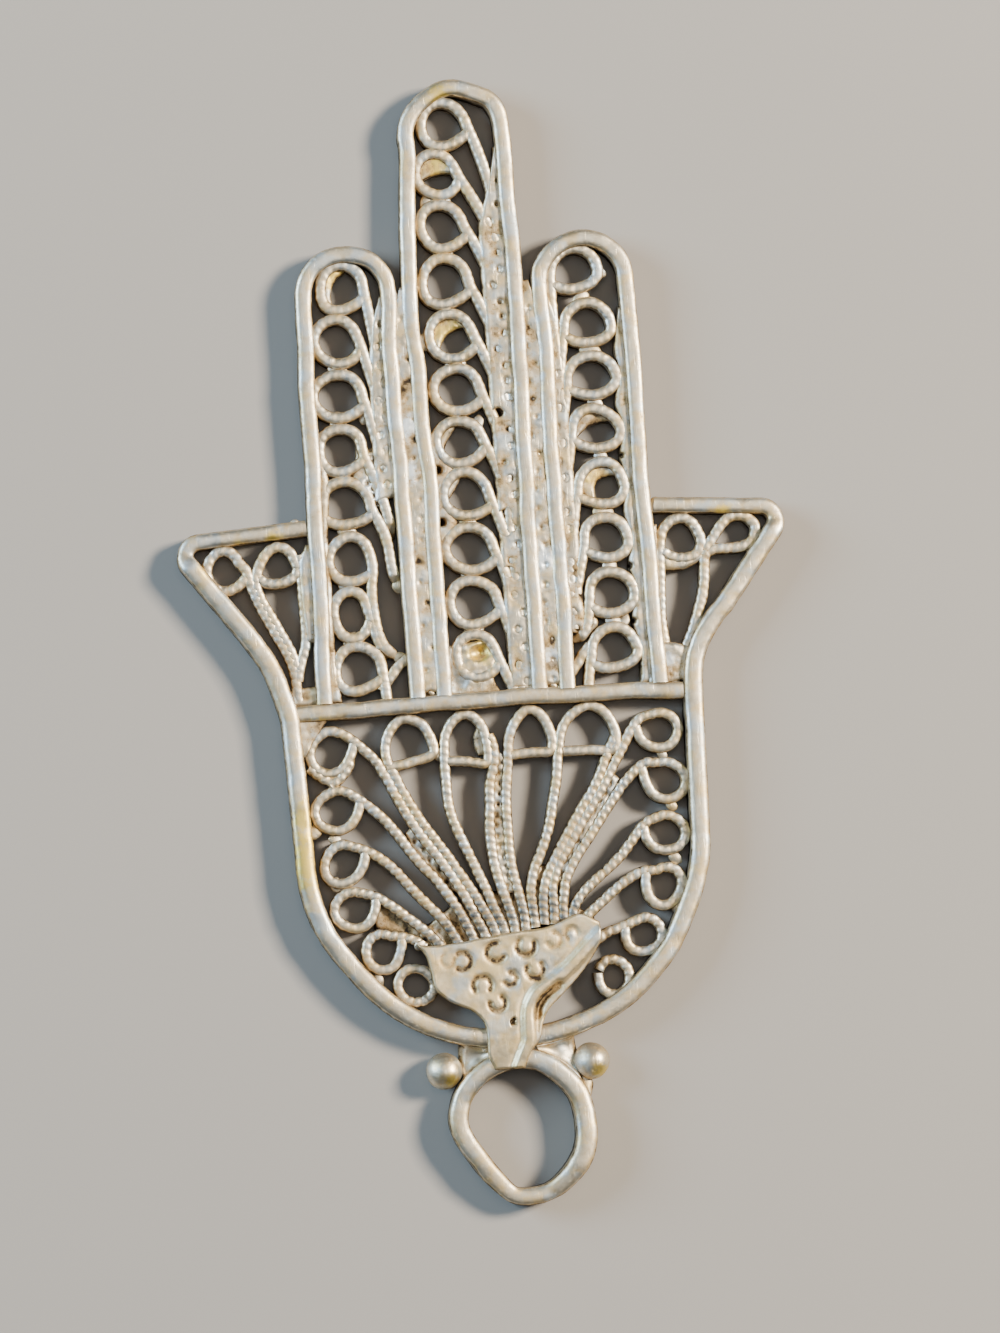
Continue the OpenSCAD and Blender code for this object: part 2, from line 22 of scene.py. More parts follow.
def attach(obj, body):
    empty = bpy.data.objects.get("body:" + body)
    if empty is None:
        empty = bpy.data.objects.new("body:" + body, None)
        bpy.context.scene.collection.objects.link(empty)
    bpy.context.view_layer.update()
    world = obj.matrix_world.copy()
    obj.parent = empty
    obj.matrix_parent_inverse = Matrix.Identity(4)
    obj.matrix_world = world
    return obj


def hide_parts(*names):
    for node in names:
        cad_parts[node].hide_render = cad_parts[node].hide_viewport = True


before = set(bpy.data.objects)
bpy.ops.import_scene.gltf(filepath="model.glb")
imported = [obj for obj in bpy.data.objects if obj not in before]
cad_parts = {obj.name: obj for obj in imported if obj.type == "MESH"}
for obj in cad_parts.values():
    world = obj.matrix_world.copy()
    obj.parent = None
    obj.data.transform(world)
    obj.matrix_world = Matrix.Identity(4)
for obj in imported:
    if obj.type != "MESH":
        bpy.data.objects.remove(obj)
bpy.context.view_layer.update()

MM = 0.001
SEED = 5
DRAWING = (-0.17, 0.17)
LOG = logging.getLogger("hamsa")
Pair = tuple[float, float]
Triple = tuple[float, float, float]
Line = tuple[Pair, ...]


class Side(Enum):
    """The two sides of the hand, seen from the front."""

    LEFT = -1
    RIGHT = 1

    @property
    def word(self) -> str:
        """The side as the names of the nodes say it."""
        return self.name.lower()


class Slot(Enum):
    """The record's material slots."""

    FRAME = "frame_silver"
    FILIGREE = "filigree_silver"
    PLATE = "plate_silver"
    SOLDER = "solder_silver"


@dataclass(frozen=True)
class HandSizes:
    """The hand's sizes, as the solids have them.

    The cross bar's middle line is at y 0 in the plan of the solids, and drop moves the plan
    into the row frame.
    """

    rim_w: float = 1.05
    rim_h: float = 1.8
    leg_w: float = 0.8
    leg_h: float = 1.65
    bar_w: float = 0.8
    twist_d: float = 0.6
    gap: float = 0.04
    palm_r: float = 11.0
    palm_side: float = 7.5
    middle_len: float = 33.3
    middle_half: float = 2.95
    side_len: float = 24.7
    side_w: float = 5.42
    side_spread: float = 0.3
    thumb_reach: float = 16.3
    thumb_rise: float = 8.65
    thumb_tip_r: float = 1.3
    thumb_slope: float = 49.0
    hollow_r: float = 7.2
    thumb_fall: float = 4.0
    ribbon_w: float = 0.5
    ribbon_h: float = 1.3
    plate_t: float = 0.8
    ring_hole_w: float = 5.6
    ring_w: float = 1.1
    ring_h: float = 1.8
    ball_r: float = 1.0
    drop: float = -3.13

    @property
    def palm_centre(self) -> Pair:
        """Middle of the palm's round end."""
        return (0.0, -self.palm_side + self.drop)

    @property
    def ring_centre(self) -> Pair:
        """Middle of the bail ring's round top."""
        low = self.palm_side + self.palm_r + self.gap + self.ring_w + self.ring_hole_w / 2
        return (0.0, self.drop - low)

    @property
    def foot_y(self) -> float:
        """Height at which the fingers stand on the cross bar."""
        return self.drop + self.bar_w / 2

    @property
    def side_top(self) -> Pair:
        """Middle of the right finger's round top."""
        inner = self.middle_half + self.twist_d + 2 * self.gap
        return (inner + self.side_w / 2, self.side_len - self.side_w / 2 + self.drop)


HAND = HandSizes()


def clamp(value: float, low: float = 0.0, high: float = 1.0) -> float:
    """The value, kept between two others."""
    return min(high, max(low, value))


def on_circle(centre: Pair, radius: float, angle: float) -> Pair:
    """Point of a circle, at an angle in degrees from +X."""
    turn = math.radians(angle)
    return (centre[0] + radius * math.cos(turn), centre[1] + radius * math.sin(turn))


def arc(centre: Pair, radius: float, start: float, end: float, step: float = 5.0) -> list[Pair]:
    """Points of an arc.

    Args:
        centre: Middle of the circle.
        radius: Its radius.
        start: First angle in degrees.
        end: Last angle in degrees.
        step: Largest angle between two points.

    Returns:
        The points, both ends included.
    """
    count = max(2, math.ceil(abs(end - start) / step))
    return [on_circle(centre, radius, start + (end - start) * i / count) for i in range(count + 1)]


def smooth_line(knots: list[Pair] | Line, per_span: int = 6) -> list[Pair]:
    """Rounded line through its knots, as a centripetal Catmull-Rom curve.

    Args:
        knots: Points that the line passes through.
        per_span: Points made between two knots.

    Returns:
        The points of the line.
    """
    points = [Vector(k) for k in knots]
    points = [2 * points[0] - points[1], *points, 2 * points[-1] - points[-2]]
    made: list[Pair] = []
    for p0, p1, p2, p3 in zip(points, points[1:], points[2:], points[3:]):
        t1 = max(1e-4, (p1 - p0).length ** 0.5)
        t2 = t1 + max(1e-4, (p2 - p1).length ** 0.5)
        t3 = t2 + max(1e-4, (p3 - p2).length ** 0.5)
        for i in range(per_span):
            t = t1 + (t2 - t1) * i / per_span
            a1 = p0 * ((t1 - t) / t1) + p1 * (t / t1)
            a2 = p1 * ((t2 - t) / (t2 - t1)) + p2 * ((t - t1) / (t2 - t1))
            a3 = p2 * ((t3 - t) / (t3 - t2)) + p3 * ((t - t2) / (t3 - t2))
            b1 = a1 * ((t2 - t) / t2) + a2 * (t / t2)
            b2 = a2 * ((t3 - t) / (t3 - t1)) + a3 * ((t - t1) / (t3 - t1))
            made.append(tuple(b1 * ((t2 - t) / (t2 - t1)) + b2 * ((t - t1) / (t2 - t1))))
    made.append(tuple(points[-2]))
    return made


def row_place(points: list[Pair] | Line) -> list[Pair]:
    """Points moved from the working drawing to the row frame."""
    return [(x + DRAWING[0], y + DRAWING[1]) for x, y in points]


def drawn_line(knots: list[Pair] | Line, per_span: int = 6) -> list[Pair]:
    """Smooth line through knots of the working drawing, in the row frame."""
    return row_place(smooth_line(knots, per_span))


@dataclass(frozen=True)
class HandWork:
    """How bending by hand moved the wires, in mm.

    Attributes:
        slip: Largest slip of any wire.
        grain: Slips per mm.
        ends: Half width and half height at which the slips have faded out.
        fade: Distance over which they fade.
        bow_y: Height at which the middle finger's legs are bowed most.
        bow_span: How far the bow spreads.
        left: Pushes of the left hollow, each with its middle and spread, and where they end.
        right: The same of the right hollow.
    """

    slip: float = 0.13
    grain: float = 0.42
    ends: Pair = (15.7, 29.5)
    fade: float = 1.5
    bow_y: float = 18.5
    bow_span: float = 7.0
    left: tuple[tuple[Triple, ...], float, float] = (((0.62, -0.5, 4.0),), 5.0, 2.0)
    right: tuple[tuple[Triple, ...], float, float] = (((0.42, 2.8, 2.4), (0.18, -1.5, 3.5)), 5.2, 1.6)

    def bent(self, x: float, y: float) -> Pair:
        """Place of a point after the small slips of bending.

        Args:
            x: Place in mm.
            y: Place in mm.

        Returns:
            The slipped place.
        """
        push = noise.noise_vector(Vector((self.grain * x, self.grain * y, 6.0)))
        room = clamp(min((end - abs(at)) / self.fade for end, at in zip(self.ends, (x, y))))
        return (x + self.slip * room * push.x, y + self.slip * room * push.y)

    def bow(self, y: float) -> float:
        """How far a middle finger's leg is bowed at a height, from 0 to 1."""
        return math.exp(-((y - self.bow_y) / self.bow_span) ** 2)

    def pushed(self, x: float, y: float) -> Pair:
        """Place of a rim point after the hollows under the thumbs were pushed outwards.

        Args:
            x: Place in mm.
            y: Place in mm.

        Returns:
            The pushed place. The thumbs' tips stay where they are.
        """
        pushes, top, fade = self.left if x < 0 else self.right
        push = sum(far * math.exp(-((y - middle) / spread) ** 2) for far, middle, spread in pushes)
        return (x + math.copysign(push * clamp((top - y) / fade), x), y)


HAND_WORK = HandWork()


def mirrored(points: list[Pair]) -> list[Pair]:
    """The points on the other side of the middle line, in the same order."""
    return [(-x, y) for x, y in points]


def closest(point: Vector, line: list[Vector]) -> Vector:
    """The place on a line of points that lies nearest to a point.

    Args:
        point: The point.
        line: The line's points.

    Returns:
        The nearest place.
    """
    best, made = math.inf, line[0]
    for a, b in zip(line, line[1:]):
        span = b - a
        spot = a + clamp((point - a).dot(span) / max(1e-9, span.length_squared)) * span
        away = (point - spot).length_squared
        if away < best:
            best, made = away, spot
    return made


def nearest(point: Vector, line: list[Vector]) -> float:
    """Distance from a point to a line of points."""
    return (point - closest(point, line)).length


def even_line(points: list[Pair], count: int, crowd: float = 0.0) -> list[Vector]:
    """Points at set shares of a line's length.

    Args:
        points: The line.
        count: How many spans.
        crowd: How much the points crowd to both ends, 0 to 1.

    Returns:
        count + 1 points.
    """
    line = [Vector(p) for p in points]
    run = [0.0]
    for a, b in zip(line, line[1:]):
        run.append(run[-1] + (b - a).length)
    made, k = [], 0
    for i in range(count + 1):
        t = i / count
        want = ((1 - crowd) * t + crowd * (1 - math.cos(math.pi * t)) / 2) * run[-1]
        while k < len(run) - 2 and run[k + 1] < want:
            k += 1
        made.append(line[k].lerp(line[k + 1], clamp((want - run[k]) / (run[k + 1] - run[k]))))
    return made


def stand(name: str, data: bpy.types.ID) -> bpy.types.Object:
    """Puts a new object into the scene, at the origin.

    Args:
        name: Name of the object.
        data: Its mesh, light or camera.

    Returns:
        The object.
    """
    thing = bpy.data.objects.new(name, data)
    bpy.context.scene.collection.objects.link(thing)
    return thing


def keep(mesh: bpy.types.Mesh, title: str, values: list[float]) -> None:
    """Stores a number on each point of a mesh, under a title."""
    mesh.attributes.new(title, "FLOAT", "POINT").data.foreach_set("value", values)


def operator(operation: str) -> Callable[["Port", "Port | float"], "Port"]:
    """Method for one of Python's operators, which adds a Math node with that operation."""
    return lambda port, other: port.graph.maths(operation, port, other)


class Port:
    """A node socket that Python's operators work on. A comparison gives 1 or 0."""

    __add__ = __radd__ = operator("ADD")
    __mul__ = __rmul__ = operator("MULTIPLY")
    __sub__ = operator("SUBTRACT")
    __truediv__ = operator("DIVIDE")
    __pow__ = operator("POWER")
    __gt__ = operator("GREATER_THAN")

    def __init__(self, graph: "Graph", socket: bpy.types.NodeSocket) -> None:
        """Keeps the socket and the graph that new nodes go into."""
        self.graph = graph
        self.socket = socket

    def __rsub__(self, other: float) -> "Port":
        """Difference from a number."""
        return self.graph.maths("SUBTRACT", other, self)

    def __neg__(self) -> "Port":
        """Negative."""
        return self * -1.0

    def __abs__(self) -> "Port":
        """Absolute value."""
        return self.graph.maths("ABSOLUTE", self)


Value = Port | float | int | bool | str | tuple | bpy.types.ID | None
Settings = dict[str, object] | None


class Graph:
    """Writes nodes into a shader or geometry tree."""

    def __init__(self, tree: bpy.types.NodeTree) -> None:
        """Keeps the tree."""
        self.tree = tree

    def node(self, kind: str, settings: Settings = None, **values: Value) -> bpy.types.Node:
        """Adds one node.

        Args:
            kind: The node's type.
            settings: Properties, set before the sockets.
            **values: Socket values or ports, by the socket's name in lower case with an
                underscore for a space, or in0, in1 and so on for its place.

        Returns:
            The node.
        """
        made = self.tree.nodes.new(kind)
        for key, value in (settings or {}).items():
            setattr(made, key, value)
        for key, value in values.items():
            self.feed(self.socket(made, key), value)
        return made

    def socket(self, made: bpy.types.Node, key: str) -> bpy.types.NodeSocket:
        """Finds an input of a node.

        Args:
            made: The node.
            key: Name or place of the input, as node has it.

        Returns:
            The input.
        """
        if key.startswith("in") and key[2:].isdigit():
            return made.inputs[int(key[2:])]
        wanted = key.replace("_", " ")
        return next(s for s in made.inputs if s.name.lower() == wanted and s.enabled)

    def feed(self, socket: bpy.types.NodeSocket, value: Value) -> None:
        """Links a port to a socket, or sets the socket's value.

        Args:
            socket: The input.
            value: The port or value; None leaves the input as it is.
        """
        if isinstance(value, Port):
            self.tree.links.new(value.socket, socket)
        elif value is not None:
            socket.default_value = value

    def out(self, made: bpy.types.Node, name: str | int = 0) -> Port:
        """Output of a node as a port."""
        return Port(self, made.outputs[name])

    def take(self, kind: str, settings: Settings = None, out: str | int = 0, **values: Value) -> Port:
        """Adds one node and gives one of its outputs.

        Args:
            kind: The node's type.
            settings: Properties, set before the sockets.
            out: Name or place of the output.
            **values: Socket values or ports, as node has them.

        Returns:
            The output.
        """
        return self.out(self.node(kind, settings, **values), out)

    def maths(self, operation: str, *values: Port | float) -> Port:
        """Result of one Math node, whose inputs are given in order."""
        feeds = {f"in{i}": v for i, v in enumerate(values)}
        return self.take("ShaderNodeMath", {"operation": operation}, **feeds)

    def vector(self, operation: str, *values: Port | tuple, scale: Port | float | None = None) -> Port:
        """Adds one Vector Math node.

        Args:
            operation: The node's operation.
            *values: Its vectors in order.
            scale: Its scale, where it has one.

        Returns:
            The result.
        """
        feeds: dict[str, Value] = {f"in{i}": v for i, v in enumerate(values)}
        if scale is not None:
            feeds["scale"] = scale
        name = "Value" if operation == "DISTANCE" else "Vector"
        return self.take("ShaderNodeVectorMath", {"operation": operation}, name, **feeds)

    def combine(self, x: Port | float, y: Port | float, z: Port | float) -> Port:
        """Vector from three numbers."""
        return self.take("ShaderNodeCombineXYZ", in0=x, in1=y, in2=z)

    def split(self, value: Port) -> tuple[Port, Port, Port]:
        """The three numbers of a vector."""
        made = self.node("ShaderNodeSeparateXYZ", in0=value)
        return self.out(made, 0), self.out(made, 1), self.out(made, 2)

    def noise(self, place: Port, scale: float, detail: float = 2.0, rough: float | None = None) -> Port:
        """Cloudy noise from 0 to 1 at a place."""
        return self.take("ShaderNodeTexNoise", None, "Fac", vector=place, scale=scale, detail=detail,
                         roughness=rough)

    def ramp(self, value: Port, low: float, high: float) -> Port:
        """Smooth rise from 0 to 1 between two values."""
        return self.take("ShaderNodeMapRange", {"interpolation_type": "SMOOTHSTEP"}, value=value,
                         from_min=low, from_max=high, to_min=0.0, to_max=1.0)

    def mix(self, share: Port | float, a: Port | tuple, b: Port | tuple) -> Port:
        """Mixes two colours.

        Args:
            share: How much of b.
            a: First colour.
            b: Second colour.

        Returns:
            The mixed colour.
        """
        made = self.node("ShaderNodeMix", {"data_type": "RGBA", "blend_type": "MIX"})
        self.feed(made.inputs[0], share)
        for socket, value in ((made.inputs[6], a), (made.inputs[7], b)):
            self.feed(socket, (*value, 1.0) if isinstance(value, tuple) else value)
        return self.out(made, 2)


def blank_material(name: str) -> tuple[bpy.types.Material, Graph]:
    """Starts a material.

    Args:
        name: Its name.

    Returns:
        The material without nodes, and the graph of its tree.
    """
    material = bpy.data.materials.new(name)
    material.use_nodes = True
    material.node_tree.nodes.clear()
    return material, Graph(material.node_tree)


@dataclass(frozen=True)
class SilverFinish:
    """Worn silver: bright crowns, cream and cool patches, brown-black sulphide and painted shade in the
    hollows.

    Attributes:
        name: The material's name.
        bright: Colour of the rubbed crowns.
        dull: Colour of the quieter patches.
        warm: Colour of the creamy patches.
        cool: Colour of the bluish patches.
        tarnish: Colour of the dark hollows, sulphide together with painted shade.
        amber: Colour where the tarnish and the painted shade start.
        shade: Colour of the painted shade on upright walls.
        stain: Colour of the yellow stains.
        shine: Cool white of the painted reflections.
        shade_grey: Grey of the painted shade spots.
        dark_below: Height in mm under which the surface darkens, tarnish with painted shade.
        gloss: Roughness of the crowns.
        grain: Depth of the fine surface grain in mm.
        stains: Places and radii in mm of yellow stains.
        shines: Places and radii in mm of painted cool reflections.
        shade_spots: Places and radii in mm of painted shade spots, darkened grey.
    """

    name: str
    bright: Triple = (0.8, 0.74, 0.6)
    dull: Triple = (0.52, 0.455, 0.34)
    warm: Triple = (0.78, 0.59, 0.27)
    cool: Triple = (0.54, 0.68, 0.8)
    tarnish: Triple = (0.035, 0.022, 0.013)
    amber: Triple = (0.46, 0.31, 0.13)
    shade: Triple = (0.3, 0.26, 0.2)
    stain: Triple = (0.88, 0.67, 0.15)
    shine: Triple = (0.84, 0.93, 1.0)
    shade_grey: Triple = (0.15, 0.16, 0.17)
    dark_below: float = 1.2
    gloss: float = 0.4
    grain: float = 0.012
    stains: tuple[Triple, ...] = ()
    shines: tuple[Triple, ...] = ()
    shade_spots: tuple[Triple, ...] = ()

    def build(self) -> bpy.types.Material:
        """Makes the material.

        Returns:
            The finished material.
        """
        material, g = blank_material(self.name)
        place = g.take("ShaderNodeTexCoord", None, "Object")
        spot = g.vector("SCALE", place, scale=1.0 / MM)
        x, y, z = g.split(spot)
        up = g.split(g.take("ShaderNodeNewGeometry", None, "Normal"))[2]

        def cloud(scale: float, detail: float = 3.0) -> Port:
            """Noise with features of 1 / scale mm."""
            return g.noise(spot, scale, detail, 0.6)

        patches = g.ramp(cloud(0.5), 0.4, 0.66)
        mottle = g.ramp(cloud(2.4), 0.36, 0.68)
        speckle = g.ramp(cloud(8.0, 2.0), 0.54, 0.7)
        # groove holds the darkness that the pieces store in milled valleys, stamps, pits and crotches:
        # painted shade in these recesses, together with tarnish.
        groove = g.take("ShaderNodeAttribute", {"attribute_name": "groove"}, "Fac")
        clean = g.take("ShaderNodeAttribute", {"attribute_name": "clean"}, "Fac")
        # Painted shade: downward faces, the parts near the table and the steep sides of the round crowns are
        # darkened, mixed with the sulphide of the hollows and random speckles and patches.
        back = g.ramp(-up, 0.3, 0.8)
        wall = 1.0 - g.ramp(abs(up), 0.05, 0.35)
        low = (1.0 - g.ramp(z, 0.3 * self.dark_below, self.dark_below)) * (1.0 - clean * 0.5) * (1.0 - back)
        steep = (1.0 - g.ramp(abs(up), 0.22, 0.88)) * (1.0 - clean * 0.65)
        hollow = g.maths("MINIMUM", low * 0.85 + steep * (0.62 + 0.38 * mottle), 1.0)
        tarnish_and_shade = hollow * (mottle * 0.3 + 0.8) + groove * (mottle * 0.45 + 0.6)
        tarnish_and_shade = tarnish_and_shade + speckle * 0.2 + patches * 0.1 + back * mottle * 0.35 - 0.08
        tarnish_and_shade = g.maths("MINIMUM", g.maths("MAXIMUM", tarnish_and_shade, 0.0), 1.0) * (1.0 - wall * 0.35)

        colour = g.mix(patches * 0.6 + mottle * 0.4, self.bright, self.dull)
        colour = g.mix(g.ramp(cloud(1.3), 0.45, 0.66) * 0.6, colour, self.warm)
        colour = g.mix(g.ramp(cloud(0.8, 2.0), 0.5, 0.68) * 0.55, colour, self.cool)
        # Yellow stains are the metal's own; the cool white spots are painted reflections and the grey spots
        # painted shade.
        spots = [(*at, 0.92, self.stain) for at in self.stains]
        spots += [(*at, 0.92, self.shine) for at in self.shines]
        spots += [(*at, 0.8, self.shade_grey) for at in self.shade_spots]
        for sx, sy, radius, share, tint in spots:
            off = g.vector("DISTANCE", g.combine(x, y, 0.0), (sx, sy, 0.0))
            mask = 1.0 - g.ramp(off + mottle * 0.5 * radius, 0.4 * radius, 1.3 * radius)
            colour = g.mix(mask * share, colour, tint)
        # Tarnish and painted shade darken the colour through amber to brown-black.
        colour = g.mix(g.ramp(tarnish_and_shade, 0.04, 0.5) * 0.8, colour, self.amber)
        colour = g.mix(g.ramp(tarnish_and_shade, 0.3, 0.95), colour, self.tarnish)
        # Painted shade: upright walls, found by their normals, are darkened towards the shade colour.
        colour = g.mix(wall * 0.5, colour, self.shade)

        rough = self.gloss + patches * 0.12 + tarnish_and_shade * 0.35 + speckle * 0.1
        metal = 1.0 - tarnish_and_shade * 0.5
        streak = g.noise(g.combine(x * 7.0, y * 0.9, z * 7.0), 1.0)
        fine = cloud(14.0) * 0.4 + cloud(3.2) - g.ramp(streak, 0.6, 0.68) * 0.5
        bump = g.take("ShaderNodeBump", strength=0.55, distance=self.grain * MM, height=fine)
        shader = g.take("ShaderNodeBsdfPrincipled", base_color=colour, metallic=metal,
                        roughness=rough, normal=bump)
        g.node("ShaderNodeOutputMaterial", surface=shader)
        return material


@dataclass(frozen=True)
class TableFinish:
    """Plain pale, softly mottled table top."""

    name: str = "pale_table"
    colour: Triple = (0.36, 0.345, 0.33)

    def build(self) -> bpy.types.Material:
        """Makes the material.

        Returns:
            The finished material.
        """
        material, g = blank_material(self.name)
        haze = g.noise(g.take("ShaderNodeTexCoord", None, "Object"), 40.0, 3.0)
        colour = g.mix(haze, self.colour, tuple(0.95 * c for c in self.colour))
        shader = g.take("ShaderNodeBsdfPrincipled", base_color=colour, roughness=0.8)
        g.node("ShaderNodeOutputMaterial", surface=shader)
        return material


class WireTree:
    """Base of the geometry trees that lay wire along lines.

    Attributes:
        name: Name of the tree.
        roundness: Power that the section's circle is taken to; less than 1 makes it squarer.
        inputs: Default of each named input in metres.
    """

    name = "wire"
    roundness = 1.0
    inputs: dict[str, float] = {}

    def __init__(self) -> None:
        """Builds the tree with its named inputs."""
        self.tree = bpy.data.node_groups.new(self.name, "GeometryNodeTree")
        self.g = Graph(self.tree)
        self.socket("Geometry", "NodeSocketGeometry")
        for title, value in self.inputs.items():
            self.socket(title, "NodeSocketFloat").default_value = value
        self.socket("Material", "NodeSocketMaterial")
        self.socket("Geometry", "NodeSocketGeometry", "OUTPUT")
        self.entry = self.g.node("NodeGroupInput")
        self.finish_off(self.lay(self.given("Geometry")))

    def socket(self, title: str, kind: str, way: str = "INPUT") -> bpy.types.NodeTreeInterfaceSocket:
        """Adds an input or output to the tree."""
        return self.tree.interface.new_socket(title, in_out=way, socket_type=kind)

    def given(self, title: str) -> Port:
        """One of the tree's inputs as a port."""
        return self.g.out(self.entry, title)

    def geo(self, kind: str, settings: Settings = None, out: str | int = 0, **values: Value) -> Port:
        """Adds one geometry node and gives one of its outputs, as the graph's take does."""
        return self.g.take("GeometryNode" + kind, settings, out, **values)

    def lay(self, lines: Port) -> Port:
        """Turns the lines into wire."""
        raise NotImplementedError

    def named(self, title: str) -> Port:
        """A stored number."""
        return self.geo("InputNamedAttribute", {"data_type": "FLOAT"}, name=title)

    def store(self, geometry: Port, title: str, value: Port) -> Port:
        """Stores a number on the points of a geometry, under a title."""
        return self.geo("StoreNamedAttribute", {"data_type": "FLOAT", "domain": "POINT"},
                        geometry=geometry, name=title, value=value)

    def curves(self, lines: Port, step: Port) -> Port:
        """Lines as evenly divided curves whose sides are level.

        Args:
            lines: Mesh of edges.
            step: Distance between two points.

        Returns:
            The curves, with the distance along each stored as along.
        """
        curve = self.geo("MeshToCurve", mesh=lines)
        curve = self.geo("ResampleCurve", {"mode": "LENGTH"}, curve=curve, length=step)
        curve = self.geo("SetCurveNormal", {"mode": "Z_UP"}, curve=curve)
        return self.store(curve, "along", self.geo("SplineParameter", None, "Length"))

    def section(self, edge: float, count: int) -> Port:
        """Closed section with a flat, softly edged foot, upright sides and a round crown.

        Args:
            edge: Height of the softened foot edge in metres.
            count: Number of points.

        Returns:
            The section as a curve, with the height on the circle stored as rise.
        """
        g = self.g
        crown = self.given("Crown")
        ring = self.geo("CurvePrimitiveCircle", {"mode": "RADIUS"}, resolution=count, radius=1.0)
        across, fall, _ = g.split(self.geo("InputPosition"))
        rise = g.maths("SIGN", -fall) * abs(fall) ** self.roundness
        across = g.maths("SIGN", across) * abs(across) ** self.roundness
        top = rise > -0.01
        z = top * (self.given("Height") - crown + crown * rise) + (1.0 - top) * (rise * edge + edge)
        ring = self.store(ring, "rise", rise)
        return self.geo("SetPosition", geometry=ring,
                        position=g.combine(across * self.given("Width") * 0.5, -z, 0.0))

    def sweep(self, curve: Port, profile: Port) -> Port:
        """Sweeps a section along curves, at the size stored as wide."""
        return self.geo("CurveToMesh", curve=curve, profile_curve=profile, fill_caps=True,
                        scale=self.named("wide"))

    def push(self, geometry: Port, amount: Port) -> Port:
        """Moves a surface outwards along its normals."""
        offset = self.g.vector("SCALE", self.geo("InputNormal"), scale=amount)
        return self.geo("SetPosition", geometry=geometry, offset=offset)

    def hammer(self, geometry: Port, scale: float) -> Port:
        """Presses soft hand-made dents into a surface, so many per metre."""
        dent = self.g.noise(self.geo("InputPosition"), scale)
        return self.push(geometry, -self.g.ramp(dent, 0.45, 0.8) * self.given("Dent"))

    def finish_off(self, geometry: Port) -> None:
        """Smooths, realises and dresses the geometry, and ends the tree.

        Args:
            geometry: The finished wire or drops.
        """
        for title in ("along", "rise", "wide", "relief"):
            geometry = self.geo("RemoveAttribute", geometry=geometry, name=title)
        geometry = self.geo("RealizeInstances", geometry=self.geo("SetShadeSmooth", geometry=geometry))
        geometry = self.geo("SetMaterial", geometry=geometry, material=self.given("Material"))
        self.g.node("NodeGroupOutput", in0=geometry)


class DrawnWireTree(WireTree):
    """Half-round wire, a little dented from bending."""

    name = "drawn_wire"
    roundness = 0.72
    inputs = {"Width": 0.001, "Height": 0.0018, "Crown": 0.0004, "Step": 0.0002, "Dent": 0.00003}

    def lay(self, lines: Port) -> Port:
        """Sweeps the half-round section along the lines.

        Args:
            lines: Mesh of edges.

        Returns:
            The wire.
        """
        wire = self.sweep(self.curves(lines, self.given("Step")), self.section(0.00006, 24))
        return self.hammer(wire, 900.0)


class MilledRibbonTree(WireTree):
    """Flattened twisted ribbon on edge, whose crown shows the twist as slanting beads."""

    name = "milled_ribbon"
    roundness = 0.85
    inputs = {"Width": 0.0005, "Height": 0.0013, "Crown": 0.0002, "Step": 0.00008, "Bead": 0.00042,
              "Relief": 0.00008, "Dent": 0.00003}

    def lay(self, lines: Port) -> Port:
        """Sweeps the ribbon and mills its crown.

        Args:
            lines: Mesh of edges.

        Returns:
            The ribbon.
        """
        curve = self.curves(lines, self.given("Step"))
        profile = self.section(0.00005, 14)
        profile = self.store(profile, "around", self.geo("SplineParameter", None, "Factor"))
        ribbon = self.sweep(curve, profile)
        phase = self.named("along") / self.given("Bead") + self.named("around") * 2.2
        bead = abs(self.g.maths("SINE", phase * math.pi))
        top = self.g.ramp(self.named("rise"), -0.1, 0.25)
        # The valleys between the beads are stored as groove, which the finish darkens: painted shade in the
        # milled valleys, together with tarnish.
        valley = (1.0 - bead) * top * self.named("relief")
        ribbon = self.store(ribbon, "groove", valley)
        ribbon = self.push(ribbon, -valley * self.given("Relief"))
        ribbon = self.geo("RemoveAttribute", geometry=ribbon, name="around")
        return self.hammer(ribbon, 1400.0)


class TwistedPairTree(WireTree):
    """Round strands wound about one another."""

    name = "twisted_pair"
    strands = 2
    inputs = {"Strand": 0.00032, "Lay": 0.001, "Step": 0.00008, "Axis Height": 0.0013}

    def lay(self, lines: Port) -> Port:
        """Winds each strand about the line.

        Args:
            lines: Mesh of edges.

        Returns:
            The strands.
        """
        g = self.g
        curve = self.curves(lines, self.given("Step"))
        side = g.vector("CROSS_PRODUCT", self.geo("InputTangent"), (0.0, 0.0, 1.0))
        profile = self.geo("CurvePrimitiveCircle", {"mode": "RADIUS"}, resolution=10,
                           radius=self.given("Strand") * 0.5)
        joined = g.node("GeometryNodeJoinGeometry")
        reach = self.given("Strand") * 0.46
        for k in range(self.strands):
            angle = self.named("along") / self.given("Lay") * math.tau + math.tau * k / self.strands
            lift = g.maths("SINE", angle) * reach + self.given("Axis Height")
            offset = g.vector("ADD", g.vector("SCALE", side, scale=g.maths("COSINE", angle) * reach),
                              g.combine(0.0, 0.0, lift))
            strand = self.geo("SetPosition", geometry=curve, offset=offset)
            wire = self.geo("CurveToMesh", curve=strand, profile_curve=profile, fill_caps=True)
            self.tree.links.new(wire.socket, joined.inputs[0])
        return g.out(joined)


